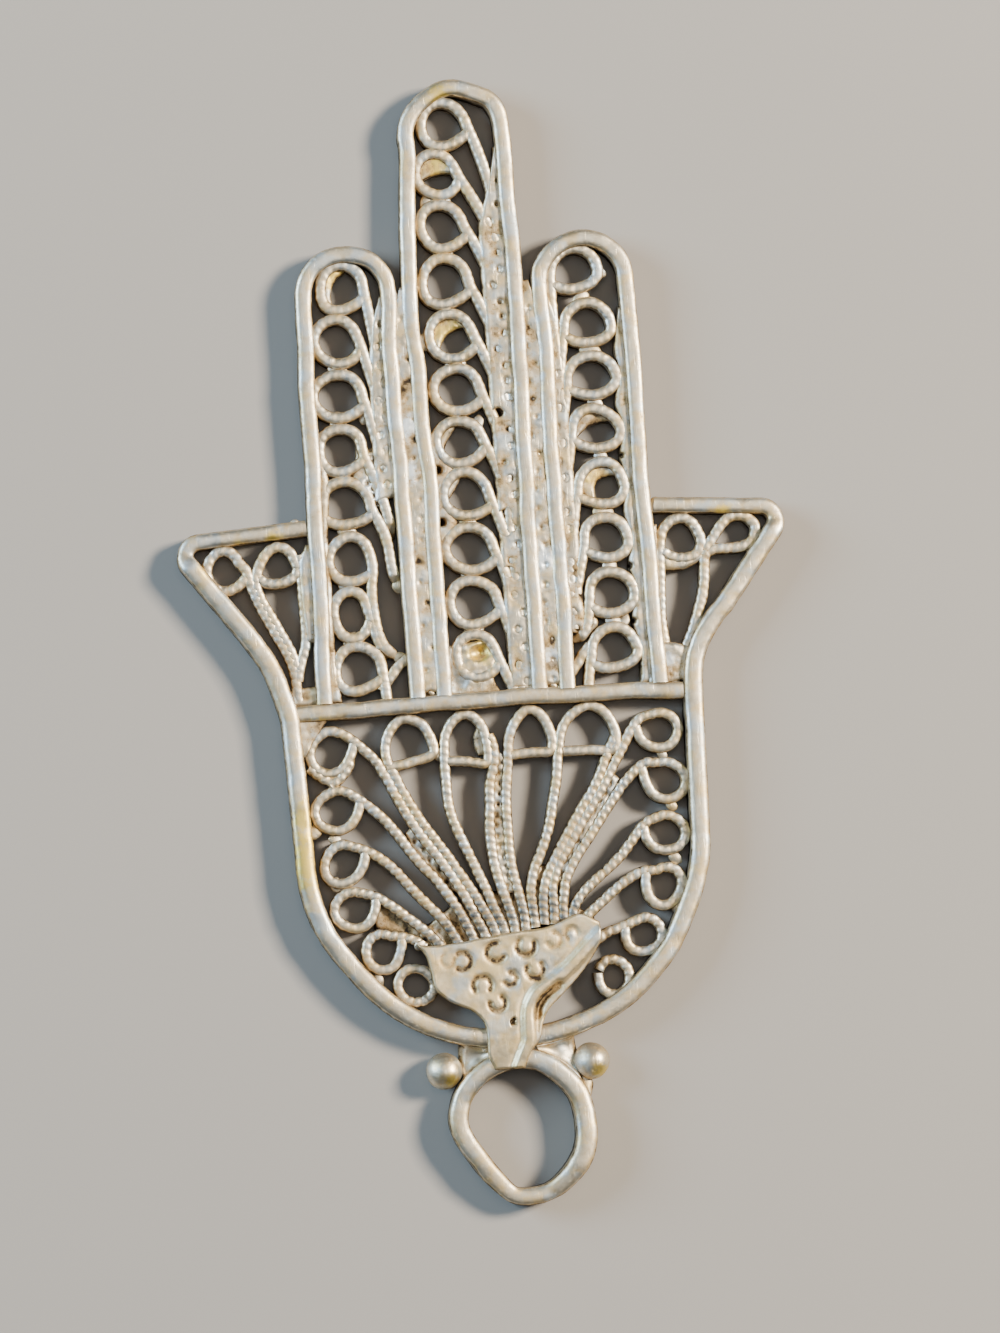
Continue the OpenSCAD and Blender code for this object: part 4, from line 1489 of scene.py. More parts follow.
PALM_ARCHES = (
    Arch(-5.72, -3.1, (-4.7, -3.9), -6.5, ((-5.65, -6.1), (-5.25, -7.1), (-4.75, -8.2), (-4.1, -9.4),
         (-3.3, -10.7), (-2.5, -11.9), (-1.85, -13.0), (-1.22, -14.2), (-0.7, -15.2), (-0.5, -15.9)), 0.5),
    Arch(-2.5, -0.3, (-1.3, -3.9), -6.4, ((-2.62, -6.3), (-2.6, -7.5), (-2.5, -8.8), (-2.2, -10.0),
         (-1.8, -11.1), (-1.4, -12.1), (-0.95, -13.3), (-0.6, -14.3), (-0.2, -15.2), (-0.05, -15.8)), -0.15),
    Arch(0.95, 3.25, (2.0, -3.9), -6.25, ((0.78, -6.3), (0.62, -7.5), (0.52, -9.0), (0.5, -10.5),
         (0.55, -12.0), (0.8, -13.4), (1.02, -14.5), (1.1, -15.2), (1.1, -15.8)), 0.1),
    Arch(3.75, 6.55, (5.3, -3.9), -6.25, ((3.45, -6.6), (3.25, -7.7), (3.0, -8.8), (2.65, -10.1),
         (2.2, -11.3), (1.75, -12.4), (1.52, -13.5), (1.55, -14.4), (1.65, -15.5)), -0.1),
)
PALM_STEMS = (
    ((-0.2, -5.0), (0.05, -5.8), (0.0, -6.7), (-0.28, -7.6), (-0.38, -9.0), (-0.42, -10.5), (-0.38, -12.0),
     (-0.1, -13.3), (0.25, -14.4), (0.45, -15.2), (0.5, -15.8)),
    ((6.5, -5.7), (6.1, -6.5), (5.6, -7.5), (5.0, -8.5), (4.35, -9.5), (3.7, -10.6), (3.05, -11.7),
     (2.45, -12.8), (2.15, -13.9), (2.12, -15.4)),
    ((-9.85, -6.2), (-9.2, -6.75), (-8.6, -7.1)),
    ((-7.6, -5.9), (-7.75, -6.4), (-8.2, -6.95), (-8.7, -7.25)),
)


@dataclass(frozen=True)
class PalmScrolls:
    """Curls under the bar and down both sides, whose stems gather at the fan plate."""

    curl_relief: float = 0.26
    stem_relief: float = 0.62

    def milling(self, line: list[Pair]) -> list[float]:
        """Relief along a ribbon, which bending rubbed smooth at the curl's end.

        Args:
            line: The ribbon's points.

        Returns:
            The relief at each point.
        """
        last = len(line) - 1
        shares = [clamp((i / last - 0.35) / 0.35) for i in range(last + 1)]
        return [self.curl_relief + (self.stem_relief - self.curl_relief) * share for share in shares]

    def make(self, shop: Workshop) -> None:
        """Builds and dresses the palm's ribbons.

        Args:
            shop: Makes the pieces.
        """
        lines = [loop.line() for loop in PALM_CURLS + PALM_ARCHES]
        runs = [Run(line, relief=self.milling(line)) for line in lines]
        runs += [Run(drawn_line(stem), relief=0.6) for stem in PALM_STEMS]
        shop.ribbon("palm_ribbons", "palm_scrolls", runs, 0.07)


@dataclass(frozen=True)
class Stamp:
    """One horseshoe mark punched into the plate, in mm in the working drawing.

    Attributes:
        x: Middle of the mark.
        y: Middle of the mark.
        radius: Radius of its groove.
        opening: Direction in degrees of its open side.
        depth: Depth of its groove.
    """

    x: float
    y: float
    radius: float
    opening: float
    depth: float = 0.13

    def bite(self, x: float, y: float) -> float:
        """How deep the mark is at a place.

        Args:
            x: Place in mm.
            y: Place in mm.

        Returns:
            Depth in mm.
        """
        dx, dy = x - self.x, y - self.y
        reach = math.hypot(dx, dy)
        if reach > 2.2 * self.radius:
            return 0.0
        groove = math.exp(-((reach - self.radius) / 0.14) ** 2)
        turn = math.degrees(math.atan2(dy, dx)) - self.opening
        away = abs((turn + 180) % 360 - 180)
        return self.depth * groove * clamp((away - 32) / 25, 0.12)


STAMP_MARKS = (
    Stamp(-2.45, -17.0, 0.45, 175), Stamp(-0.65, -16.65, 0.48, 25), Stamp(0.95, -16.45, 0.46, 80, 0.15),
    Stamp(2.45, -16.2, 0.4, 150, 0.07), Stamp(3.4, -15.95, 0.3, 300, 0.08), Stamp(-1.5, -18.35, 0.47, 270),
    Stamp(0.0, -18.1, 0.34, 150), Stamp(1.35, -17.7, 0.45, 100), Stamp(-0.75, -19.35, 0.4, 115),
    Stamp(0.05, -20.38, 0.1, 0, 0.22), Stamp(-3.2, -16.9, 0.35, 60, 0.05),
)
PLATE_LEFT = (
    (-1.1, -22.85), (-1.4, -22.1), (-1.42, -21.1), (-1.5, -20.35), (-2.05, -19.7), (-3.2, -19.1),
    (-3.95, -18.4), (-4.17, -17.4), (-4.35, -16.6), (-4.8, -15.95),
)
PLATE_RIGHT = (
    (0.5, -22.85), (0.8, -22.1), (1.4, -21.3), (1.6, -20.5), (1.95, -19.85), (2.8, -19.05), (3.75, -18.1),
    (4.55, -17.1), (4.98, -16.3), (4.95, -15.4),
)
PLATE_TOP = (
    (-4.8, -15.95), (-3.9, -16.08), (-2.6, -16.0), (-1.0, -15.8), (0.6, -15.62), (2.1, -15.5), (3.0, -15.2),
    (3.9, -14.9), (4.95, -15.4),
)
PLATE_RIDGE = (
    (5.1, -15.9), (4.4, -16.5), (3.5, -17.4), (2.4, -18.3), (1.35, -18.95), (0.92, -19.7), (0.82, -20.7),
    (0.8, -21.4), (0.45, -22.2), (0.2, -22.75),
)
PLATE_SLIT = ((1.38, -20.1), (1.48, -19.6), (1.95, -19.0), (2.55, -18.55))


@dataclass(frozen=True)
class FanPlate:
    """Stamped sheet fan with a raised right edge, whose neck runs over the rim to the ring."""

    hand: HandSizes = HAND
    across: int = 108
    up: int = 112
    soft_edge: float = 0.16
    ridge_w: float = 0.34
    ridge_h: float = 0.2
    slit_w: float = 0.2
    slit_deep: float = 0.26

    def grid(self) -> list[list[Vector]]:
        """Points of the plate between its four edges.

        Returns:
            Rows of points from the neck to the top edge.
        """
        left, right = (even_line(smooth_line(row_place(edge), 8), self.up, 0.5)
                       for edge in (PLATE_LEFT, PLATE_RIGHT))
        top = even_line(smooth_line(row_place(PLATE_TOP), 8), self.across, 0.6)
        low = even_line([left[0], right[0]], self.across, 0.6)
        rows = []
        for i in range(self.up + 1):
            v = i / self.up
            row = []
            for j in range(self.across + 1):
                u = (low[j] - low[0]).length / (low[-1] - low[0]).length
                sides = left[i].lerp(right[i], u)
                corners = low[0].lerp(low[-1], u).lerp(top[0].lerp(top[-1], u), v)
                row.append(sides + (low[j].lerp(top[j], v) - corners) * v)
            rows.append(row)
        return rows

    def make(self, shop: Workshop) -> None:
        """Builds and dresses the plate.

        Args:
            shop: Makes the pieces.
        """
        floor = self.hand.ribbon_h + self.hand.gap
        crown = floor + self.hand.plate_t
        rows = self.grid()
        edge = rows[0] + [row[-1] for row in rows] + rows[-1][::-1] + [row[0] for row in rows[::-1]]
        ridge, slit = ([Vector(p) for p in smooth_line(row_place(line), 4)]
                       for line in (PLATE_RIDGE, PLATE_SLIT))

        def form(point: Vector, row: int, column: int) -> Pair:
            """Height and darkness of the stamped face.

            Args:
                point: Place in mm.
                row: Its row in the grid; not used.
                column: Its column in the grid; not used.

            Returns:
                Height in mm and darkness from 0 to 1.
            """
            drop = self.soft_edge - min(self.soft_edge, nearest(point, edge))
            z = crown - self.soft_edge + math.sqrt(max(0.0, self.soft_edge ** 2 - drop ** 2))
            x, y = point.x - DRAWING[0], point.y - DRAWING[1]
            bite = sum(stamp.bite(x, y) for stamp in STAMP_MARKS)
            hollow = math.exp(-(nearest(point, slit) / self.slit_w) ** 2)
            away = nearest(point, ridge)
            lift = self.ridge_h * math.exp(-(away / self.ridge_w) ** 4)
            foot = 0.03 * math.exp(-((away - 1.45 * self.ridge_w) / 0.13) ** 2)
            dent = noise.noise(Vector((x * 1.1, y * 1.1, 3.0))) * 0.03
            dent += noise.noise(Vector((x * 3.4, y * 3.4, 8.0))) * 0.007
            bend = 0.16 * max(0.0, (-21.2 - y) / 1.6)
            z += lift - foot - bite - self.slit_deep * hollow + dent - 0.05 - bend
            # Darker in the stamped grooves, the slit and the groove at the ridge's foot: painted shade in
            # these recesses, together with tarnish.
            dark = min(1.0, bite * 9.0 + foot * 7.0 + 0.55 * hollow)
            return clamp(z, floor + 0.1, crown + self.ridge_h), dark

        shop.slab("stamped_fan", "fan_plate", Slot.PLATE, rows, floor, form)


RING_LINE = (
    (0.0, -22.22), (0.95, -22.36), (1.75, -22.75), (2.45, -23.35), (2.97, -24.1), (3.27, -24.9),
    (3.38, -25.7), (3.36, -26.5), (3.03, -27.55), (2.35, -28.47), (1.38, -29.2), (0.2, -29.46),
    (-0.62, -29.36), (-1.05, -29.05), (-1.58, -28.47), (-2.35, -27.45), (-2.95, -26.47), (-3.25, -25.6),
    (-3.27, -24.8), (-3.05, -24.0), (-2.55, -23.3), (-1.8, -22.7), (-0.95, -22.34),
)


@dataclass(frozen=True)
class BailRing:
    """Egg-shaped ring, worn thin where the chain rubbed, with the balls and seats at its shoulders.

    Attributes:
        hand: The hand's sizes.
        seat_out: How far a seat reaches past the middle of its ball.
        seat_lip: How far the balls stand off the rim.
        seat_h: Height of a seat between the wires.
    """

    hand: HandSizes = HAND
    seat_out: float = -0.85
    seat_lip: float = 0.55
    seat_h: float = 1.08

    def sizes(self, line: list[Pair]) -> list[float]:
        """Size of the wire along the ring, which is worn thin at its nose."""
        low = self.hand.ring_centre[1]
        return [1.02 - 0.15 * clamp((low - 2.3 - y) / 1.4) + 0.012 * x for x, y in line]

    def ball_place(self, side: Side) -> Vector:
        """Middle of a ball in the plane, which touches the ring and stands off the rim.

        Args:
            side: Which ball.

        Returns:
            The place.
        """
        h = self.hand
        rim_r = h.palm_r + self.seat_lip + h.ball_r
        ring_r = h.ring_hole_w / 2 + h.ring_w + h.gap + h.ball_r
        span = h.palm_centre[1] - h.ring_centre[1]
        up = (span ** 2 + ring_r ** 2 - rim_r ** 2) / (2 * span)
        return Vector((side.value * math.sqrt(ring_r ** 2 - up ** 2), h.ring_centre[1] + up))

    def seat(self, shop: Workshop, side: Side) -> None:
        """Pours the flat solder seat between the rim and the ring.

        Args:
            shop: Makes the piece.
            side: Which seat.
        """
        h = self.hand
        ball = self.ball_place(side)
        along, across = 44, 36
        rim_r, ring_r = h.palm_r - 0.1, h.ring_hole_w / 2 + h.ring_w - 0.1
        reach = math.degrees(math.asin((abs(ball.x) + self.seat_out) / rim_r))
        outer = even_line(arc(h.palm_centre, rim_r, -85, reach - 90), along)
        touch = math.degrees(math.atan2(ball.y - h.ring_centre[1], abs(ball.x)))
        inner = even_line(arc(h.ring_centre, ring_r, 72, touch - (16 if side is Side.RIGHT else 4)), along)
        shares = [(1 - math.cos(math.pi * j / across)) / 2 for j in range(across + 1)]
        rows = []
        for far, near in zip(outer, inner):
            row = [far.lerp(near, share) for share in shares]
            rows.append([Vector((side.value * point.x, point.y)) for point in row])

        def form(point: Vector, row: int, column: int) -> Pair:
            """Height and darkness of the solder, which creeps up both wires.

            Args:
                point: Place in mm.
                row: Its row in the grid.
                column: Its column in the grid; not used.

            Returns:
                Height in mm and darkness from 0 to 1.
            """
            spot = Vector((side.value * point.x, point.y))
            rim_gap = (spot - Vector(h.palm_centre)).length - h.palm_r
            ring_gap = (spot - Vector(h.ring_centre)).length - ring_r - 0.1
            creep = 0.36 * sum(math.exp(-max(0.0, gap) / 0.2) for gap in (rim_gap, ring_gap))
            z = self.seat_h + creep + noise.noise(Vector((spot.x * 1.4, spot.y * 1.4, side.value))) * 0.1
            z -= 0.45 * max(0.0, (row / along - 0.8) / 0.2) ** 2
            # Darker where the solder creeps up the rim and the ring: painted shade in the crotches.
            return clamp(z, 0.12, 1.55), min(0.5, 0.5 * creep)

        shop.slab(f"{side.word}_solder_seat", f"{side.word}_ball_seat", Slot.SOLDER, rows, 0.0, form)

    def ball(self, shop: Workshop, side: Side) -> None:
        """Melts one ball, a little flat on top.

        Args:
            shop: Makes the piece.
            side: Which ball.
        """
        radius = self.hand.ball_r
        place = self.ball_place(side)
        shape = bmesh.new()
        bmesh.ops.create_icosphere(shape, subdivisions=6, radius=1.0)
        for vert in shape.verts:
            ray = vert.co.normalized()
            size = radius * (0.975 + 0.05 * noise.noise(ray * 0.9 + Vector((side.value, 4.0, 0.0))))
            size -= 0.05 * max(0.0, ray.z - 0.55)
            vert.co = Vector((place.x, place.y, radius)) * MM + ray * size * MM
        mesh = shop.solid(f"{side.word}_melted_ball", f"{side.word}_ball", shape, Slot.FRAME)
        keep(mesh, "clean", [1.0] * len(mesh.vertices))

    def make(self, shop: Workshop) -> None:
        """Builds and dresses the ring, the seats and the balls.

        Args:
            shop: Makes the pieces.
        """
        h = self.hand
        line = smooth_line((RING_LINE[-1], *RING_LINE, *RING_LINE[:2]))[6:-7]
        shop.wire("bail_ring_wire", "bail_ring", [Run(line, closed=True, scale=self.sizes(line))],
                  shop.drawn, Slot.FRAME, width=h.ring_w - 0.02, height=h.ring_h, crown=0.42, dent=0.05)
        for side in Side:
            self.seat(shop, side)
            self.ball(shop, side)


@dataclass(frozen=True)
class Pool:
    """Solder that ran in between two lines and froze, lumpy and lower than the ribbon.

    Attributes:
        name: Name of the piece.
        node: The node that it belongs to.
        left: One border, in the working drawing.
        right: The other border.
        height: Height of its middle.
        lump: Height of its lumps.
        pitch: Distance between the pits down its middle; 0 for none.
        pit: Depth of the pits.
        hollows: Middle, radius and depth of single hollows.
        dark: How dark it is all over.
        cell: Size of its mesh.
        floor: Height of its underside.
        fall: How far its edges sink.
        pit_r: Radius of the pits.
    """

    name: str
    node: str
    left: Line
    right: Line
    height: float = 0.85
    lump: float = 0.1
    pitch: float = 0.0
    pit: float = 0.3
    hollows: tuple[tuple[float, float, float, float], ...] = ()
    dark: float = 0.12
    cell: float = 0.08
    floor: float = 0.12
    fall: float = 0.16
    pit_r: float = 0.13

    def pits(self, left: list[Vector], right: list[Vector]) -> list[Vector]:
        """Places of the pits down the middle of the pool.

        Args:
            left: Points of the left border.
            right: Points of the right border.

        Returns:
            The places, or none if the pool has no pits.
        """
        spots, gone = [], 0.0
        middle = [a.lerp(b, 0.5 + 0.16 * math.sin(1.9 * i)) for i, (a, b) in enumerate(zip(left, right))]
        for a, b in zip(middle, middle[1:]):
            gone += (b - a).length
            if self.pitch and gone > self.pitch:
                spots.append(b)
                gone = 0.0
        return spots

    def make(self, shop: Workshop) -> None:
        """Builds and dresses the pool.

        Args:
            shop: Makes the pieces.
        """
        left, right = (smooth_line(row_place(border), 8) for border in (self.left, self.right))
        length = sum((Vector(b) - Vector(a)).length for a, b in zip(left, left[1:]))
        width = (Vector(left[len(left) // 2]) - Vector(right[len(right) // 2])).length
        along, across = max(12, round(length / self.cell)), max(8, round(width / self.cell))
        one, two = even_line(left, along), even_line(right, along)
        pits = self.pits(one, two)
        wells = [(Vector(row_place(((x, y),))[0]), radius, depth) for x, y, radius, depth in self.hollows]

        def form(point: Vector, row: int, column: int) -> Pair:
            """Height and darkness of the frozen solder.

            Args:
                point: Place in mm.
                row: Its row in the grid.
                column: Its column in the grid.

            Returns:
                Height in mm and darkness from 0 to 1.
            """
            spot = Vector((point.x, point.y, 2.0))
            lump = noise.noise(1.3 * spot) + 0.3 * noise.noise(4.0 * spot)
            edge = 1 - min(row, along - row, column, across - column, 3) / 3
            hole = sum(math.exp(-((point - pit).length / self.pit_r) ** 2) for pit in pits
                       if abs(point.y - pit.y) < 0.4)
            z = self.height - self.fall * edge ** 2 + self.lump * lump - self.pit * hole
            for well, radius, depth in wells:
                share = math.exp(-((point - well).length / radius) ** 4)
                z -= depth * share
                hole += share * min(1.0, 1.2 * depth)
            # Darker in the pits, in the low spots between lumps and at the sinking edges: painted shade in
            # these recesses, together with tarnish.
            return clamp(z, 0.2, 1.6), clamp(self.dark - 0.9 * lump + 0.8 * hole + 0.2 * edge)

        rows = [[a.lerp(b, j / across) for j in range(across + 1)] for a, b in zip(one, two)]
        shop.slab(self.name, self.node, Slot.SOLDER, rows, self.floor, form)


def web(name: str, finger: str, row: tuple[float, ...], ends: Pair, depth: float, height: float) -> Pool:
    """Solder that stayed in part of a curl as a web.

    Args:
        name: Name of the piece.
        finger: Start of the node's name.
        row: Middle and size of the curl.
        ends: First and last angle of the ribbon that it hangs on.
        depth: How far it reaches into the curl, as a share of the radius.
        height: Height of its middle.

    Returns:
        The web.
    """
    x, y, width, tall = row[:4]
    rx, ry = (width - HAND.ribbon_w) / 2, (tall - HAND.ribbon_w) / 2
    turns = [math.radians(ends[0] + (ends[1] - ends[0]) * i / 12) for i in range(13)]
    outer = [Vector((x + rx * math.cos(turn), y + ry * math.sin(turn))) for turn in turns]
    hang = Vector((x, y)).lerp(outer[6], 1 - depth) - (outer[0] + outer[-1]) / 2
    inner = [outer[0].lerp(outer[-1], i / 12) + hang * math.sin(math.pi * i / 12) ** 0.8 for i in range(13)]
    borders = (tuple((p.x, p.y) for p in line) for line in (outer, inner))
    return Pool(name, f"{finger}_scrolls", *borders, height, 0.08)


POOLS = (
    # Dark all over: painted shadow along the fan plate's raised top edge.
    Pool("solder_at_fan", "palm_scrolls", ((-4.6, -15.2), (-3.7, -14.7), (-2.9, -14.1), (-2.1, -13.6),
         (-1.2, -13.4), (-0.2, -13.4), (0.8, -13.6), (1.7, -13.4), (2.6, -13.4), (3.3, -14.1), (4.0, -14.6),
         (4.8, -14.9)), ((-4.6, -16.3), (-3.6, -16.5), (-2.5, -16.5), (-1.2, -16.3), (0.0, -16.1),
         (1.2, -16.0), (2.4, -15.9), (3.6, -15.6), (4.8, -15.5)), 0.84, 0.12, dark=0.62),
    Pool("solder_in_right_fork", "palm_scrolls", ((1.9, -12.1), (1.5, -13.3), (1.5, -14.4)),
         ((2.7, -12.2), (2.35, -13.2), (2.2, -14.4)), 0.98, 0.1, dark=0.4),
    Pool("solder_in_second_arch", "palm_scrolls", ((-0.35, -4.6), (-0.25, -5.2), (-0.3, -6.2)),
         ((-0.75, -4.6), (-1.05, -5.3), (-0.8, -6.2)), 1.05, 0.1),
    Pool("solder_on_left_stems", "palm_scrolls", ((-4.95, -10.0), (-4.4, -11.2), (-3.6, -12.3),
         (-2.75, -13.6)), ((-4.5, -9.6), (-3.75, -10.8), (-2.95, -12.0), (-2.2, -13.2)), 1.0, 0.1, 1.2, 0.2),
    Pool("solder_on_middle_stems", "palm_scrolls", ((-0.35, -6.6), (-0.42, -10.0), (-0.3, -13.6)),
         ((0.6, -6.6), (0.5, -10.0), (0.7, -13.6)), 1.12, 0.08, 1.15, 0.16),
    Pool("solder_on_right_stems", "palm_scrolls", ((5.9, -7.2), (4.8, -8.9), (3.6, -10.8),
         (2.6, -12.8)), ((6.7, -7.9), (5.6, -9.6), (4.4, -11.3), (3.1, -13.5)), 1.12, 0.1, 1.3, 0.16),
    Pool("solder_under_left_loops", "palm_scrolls", ((-6.9, -13.8), (-6.0, -13.9), (-5.0, -14.8),
         (-4.4, -15.3)), ((-6.9, -15.0), (-6.2, -15.2), (-5.4, -15.4), (-4.6, -15.8)), 0.8, 0.08, dark=0.5),
    Pool("solder_in_middle_finger", "middle_finger_scrolls", ((2.3, 26.3), (2.0, 25.0), (1.6, 23.6),
         (1.15, 22.0), (1.12, 19.8), (1.12, 14.0), (1.1, 8.0), (1.1, 2.0), (1.15, -2.8)), ((2.6, 26.3),
         (2.65, 25.0), (2.7, 23.6), (2.75, 22.0), (2.75, 19.8), (2.75, 14.0), (2.65, 8.0), (2.6, 2.0),
         (2.55, -2.8)), 1.38, 0.06, 2.9, 0.3, ((1.5, 12.0, 0.2, 0.6), (1.52, 6.5, 0.24, 1.2),
         (1.5, 6.1, 0.24, 1.2), (1.47, 5.7, 0.22, 1.2), (1.5, 3.5, 0.2, 0.7))),
    Pool("solder_beside_middle_curls", "middle_finger_scrolls", ((-2.75, 10.9), (-2.7, 9.1),
         (-2.6, 7.7), (-2.6, 6.3), (-2.6, 5.2)), ((-1.9, 10.9), (-1.0, 9.1), (-1.75, 7.7), (-1.0, 6.3),
         (-1.9, 5.2)), 1.3, 0.06, 0.0, 0.0, ((-1.95, 9.15, 0.2, 0.9), (-1.9, 6.35, 0.2, 0.9))),
    Pool("solder_at_middle_foot", "middle_finger_scrolls", ((-2.6, -0.3), (-2.6, -1.2), (-2.55, -2.0),
         (-2.5, -2.95)), ((0.55, 0.0), (0.6, -0.9), (0.3, -2.0), (0.7, -2.95)), 1.24, 0.1, 0.0, 0.0,
         ((-0.5, -0.75, 0.38, 0.3), (-0.15, -0.6, 0.36, 0.24), (-1.55, -2.25, 0.4, 0.14))),
    Pool("solder_beside_left_curls", "left_finger_scrolls", ((-8.5, 11.0), (-8.6, 9.1), (-8.65, 6.15),
         (-8.65, 3.2), (-8.65, 0.3), (-8.6, -2.9)), ((-8.3, 11.0), (-7.75, 9.1), (-7.95, 6.15), (-7.95, 3.2),
         (-8.0, 0.3), (-7.8, -2.9)), 1.36, 0.06),
    Pool("solder_beside_right_curls", "right_finger_scrolls", ((8.3, 17.3), (7.95, 15.0), (8.1, 13.6),
         (7.8, 12.2), (8.1, 10.75), (7.85, 9.3), (8.1, 7.8), (7.85, 6.35), (8.15, 4.9), (7.9, 3.4),
         (8.15, 1.95), (7.9, 0.5), (8.2, -1.0), (8.1, -2.9)), ((8.6, 17.3), (8.8, 15.0), (8.85, 13.6),
         (8.85, 12.2), (8.85, 10.75), (8.85, 9.3), (8.85, 7.8), (8.85, 6.35), (8.85, 4.9), (8.85, 3.4),
         (8.9, 1.95), (8.9, 0.5), (8.9, -1.0), (8.9, -2.9)), 1.34, 0.06, 0.0, 0.0, ((7.95, 3.4, 0.14, 0.8),
         (7.95, 0.45, 0.14, 0.8), (7.95, 9.3, 0.12, 0.6))),
    Pool("solder_in_left_finger", "left_finger_scrolls", ((-4.4, 18.6), (-4.95, 17.0), (-5.2, 14.6),
         (-5.3, 11.0), (-5.35, 7.6)), ((-4.1, 18.6), (-4.05, 17.0), (-4.0, 14.6), (-4.0, 11.0), (-4.0, 7.9)),
         1.36, 0.06, 2.6, 0.3),
    Pool("solder_in_right_finger", "right_finger_scrolls", ((4.15, 18.4), (4.1, 17.0), (4.1, 13.0),
         (4.1, 7.0), (4.1, 0.1)), ((4.45, 18.4), (5.0, 17.0), (5.25, 13.0), (5.35, 7.0), (5.4, -0.1)), 1.36,
         0.06, 2.4, 0.3),
    Pool("solder_in_left_slot", "left_twisted_wire", ((-3.3, 19.0), (-3.75, 17.6), (-3.95, 16.0),
         (-4.0, 12.0), (-3.9, 7.0), (-3.8, 2.0), (-3.75, -2.7)), ((-3.0, 19.0), (-2.6, 17.6), (-2.5, 16.0),
         (-2.5, 12.0), (-2.45, 7.0), (-2.4, 2.0), (-2.35, -2.7)), 1.52, 0.05, 3.4, 0.08),
    Pool("solder_in_right_slot", "right_twisted_wire", ((3.3, 19.0), (2.9, 17.6), (2.75, 16.0),
         (2.7, 12.0), (2.7, 7.0), (2.7, 2.0), (2.7, -2.7)), ((3.6, 19.0), (4.0, 17.6), (4.1, 16.0),
         (4.1, 12.0), (4.05, 7.0), (4.05, 2.0), (4.05, -2.7)), 1.5, 0.06, 2.9, 0.12),
    Pool("solder_lump_left_finger", "left_finger_scrolls", ((-5.9, 10.4), (-6.5, 9.3), (-6.1, 8.3),
         (-5.3, 7.4)), ((-5.1, 10.4), (-4.9, 9.3), (-4.9, 8.3), (-4.9, 7.4)), 1.2, 0.16, 0.9, 0.3),
    Pool("solder_lump_right_finger", "right_finger_scrolls", ((5.9, 1.1), (6.1, 0.5), (5.7, -0.2)),
         ((4.9, 1.1), (4.9, 0.5), (4.9, -0.2)), 1.1, 0.16, 0.6, 0.2),
    Pool("solder_tail_on_ring", "right_ball_seat", ((3.0, -23.2), (3.4, -23.75), (3.6, -24.3),
         (3.62, -24.9)), ((3.95, -23.5), (4.1, -23.9), (4.0, -24.4), (3.8, -24.95)), 1.05, 0.12),
    Pool("solder_at_right_thumb", "right_thumb_scrolls", ((9.1, -0.7), (9.1, -1.8), (9.1, -2.95)),
         ((11.0, -1.0), (10.85, -1.9), (10.8, -2.95)), 1.36, 0.08),
    Pool("solder_by_right_leg", "right_thumb_scrolls", ((9.05, 5.5), (9.05, 3.2), (9.05, 1.4),
         (9.1, -0.9)), ((9.55, 5.5), (9.55, 3.2), (9.55, 1.4), (9.6, -0.9)), 1.36, 0.05),
    Pool("solder_under_right_loop", "right_thumb_scrolls", ((9.7, 3.85), (10.7, 3.6), (12.0, 3.95)),
         ((9.7, 3.0), (10.7, 2.98), (12.0, 3.5)), 1.22, 0.06),
    Pool("solder_at_left_thumb", "left_thumb_scrolls", ((-10.7, -2.05), (-10.85, -2.5),
         (-10.95, -2.95)), ((-8.7, -1.85), (-8.7, -2.5), (-8.7, -2.95)), 1.28, 0.12),
    Pool("solder_by_left_leg", "left_thumb_scrolls", ((-9.2, 5.6), (-9.62, 4.8), (-9.66, 3.0),
         (-9.5, 0.4)), ((-8.8, 5.6), (-8.7, 4.8), (-8.7, 3.0), (-8.8, 0.3)), 1.34, 0.05),
    Pool("solder_at_bar_end", "palm_scrolls", ((-10.9, -3.1), (-10.85, -4.2), (-10.5, -5.7)),
         ((-8.2, -3.2), (-9.0, -4.25), (-9.95, -5.7)), 1.38, 0.05),
    web("web_in_second_curl", "middle_finger", MIDDLE_CURLS[1], (-5.0, 205.0), 1.0, 1.16),
    web("web_in_fifth_curl", "middle_finger", MIDDLE_CURLS[4], (20.0, 235.0), 0.8, 1.0),
    web("web_in_seventh_curl", "middle_finger", MIDDLE_CURLS[6], (80.0, 220.0), 0.45, 0.95),
    web("web_in_eighth_curl", "middle_finger", MIDDLE_CURLS[7], (95.0, 200.0), 0.5, 1.0),
    web("web_in_left_curl", "left_finger", LEFT_CURLS[0], (50.0, 250.0), 0.62, 1.05),
    web("web_in_left_fourth", "left_finger", LEFT_CURLS[3], (-60.0, 70.0), 0.3, 0.9),
    web("web_in_right_fourth", "right_finger", RIGHT_CURLS[3], (10.0, 205.0), 0.7, 1.05),
    web("web_in_right_fifth", "right_finger", RIGHT_CURLS[4], (20.0, 260.0), 0.75, 1.05),
    web("web_in_left_thumb", "left_thumb", (-13.62, 4.5, 2.35, 2.6), (60.0, 220.0), 0.3, 0.9),
)
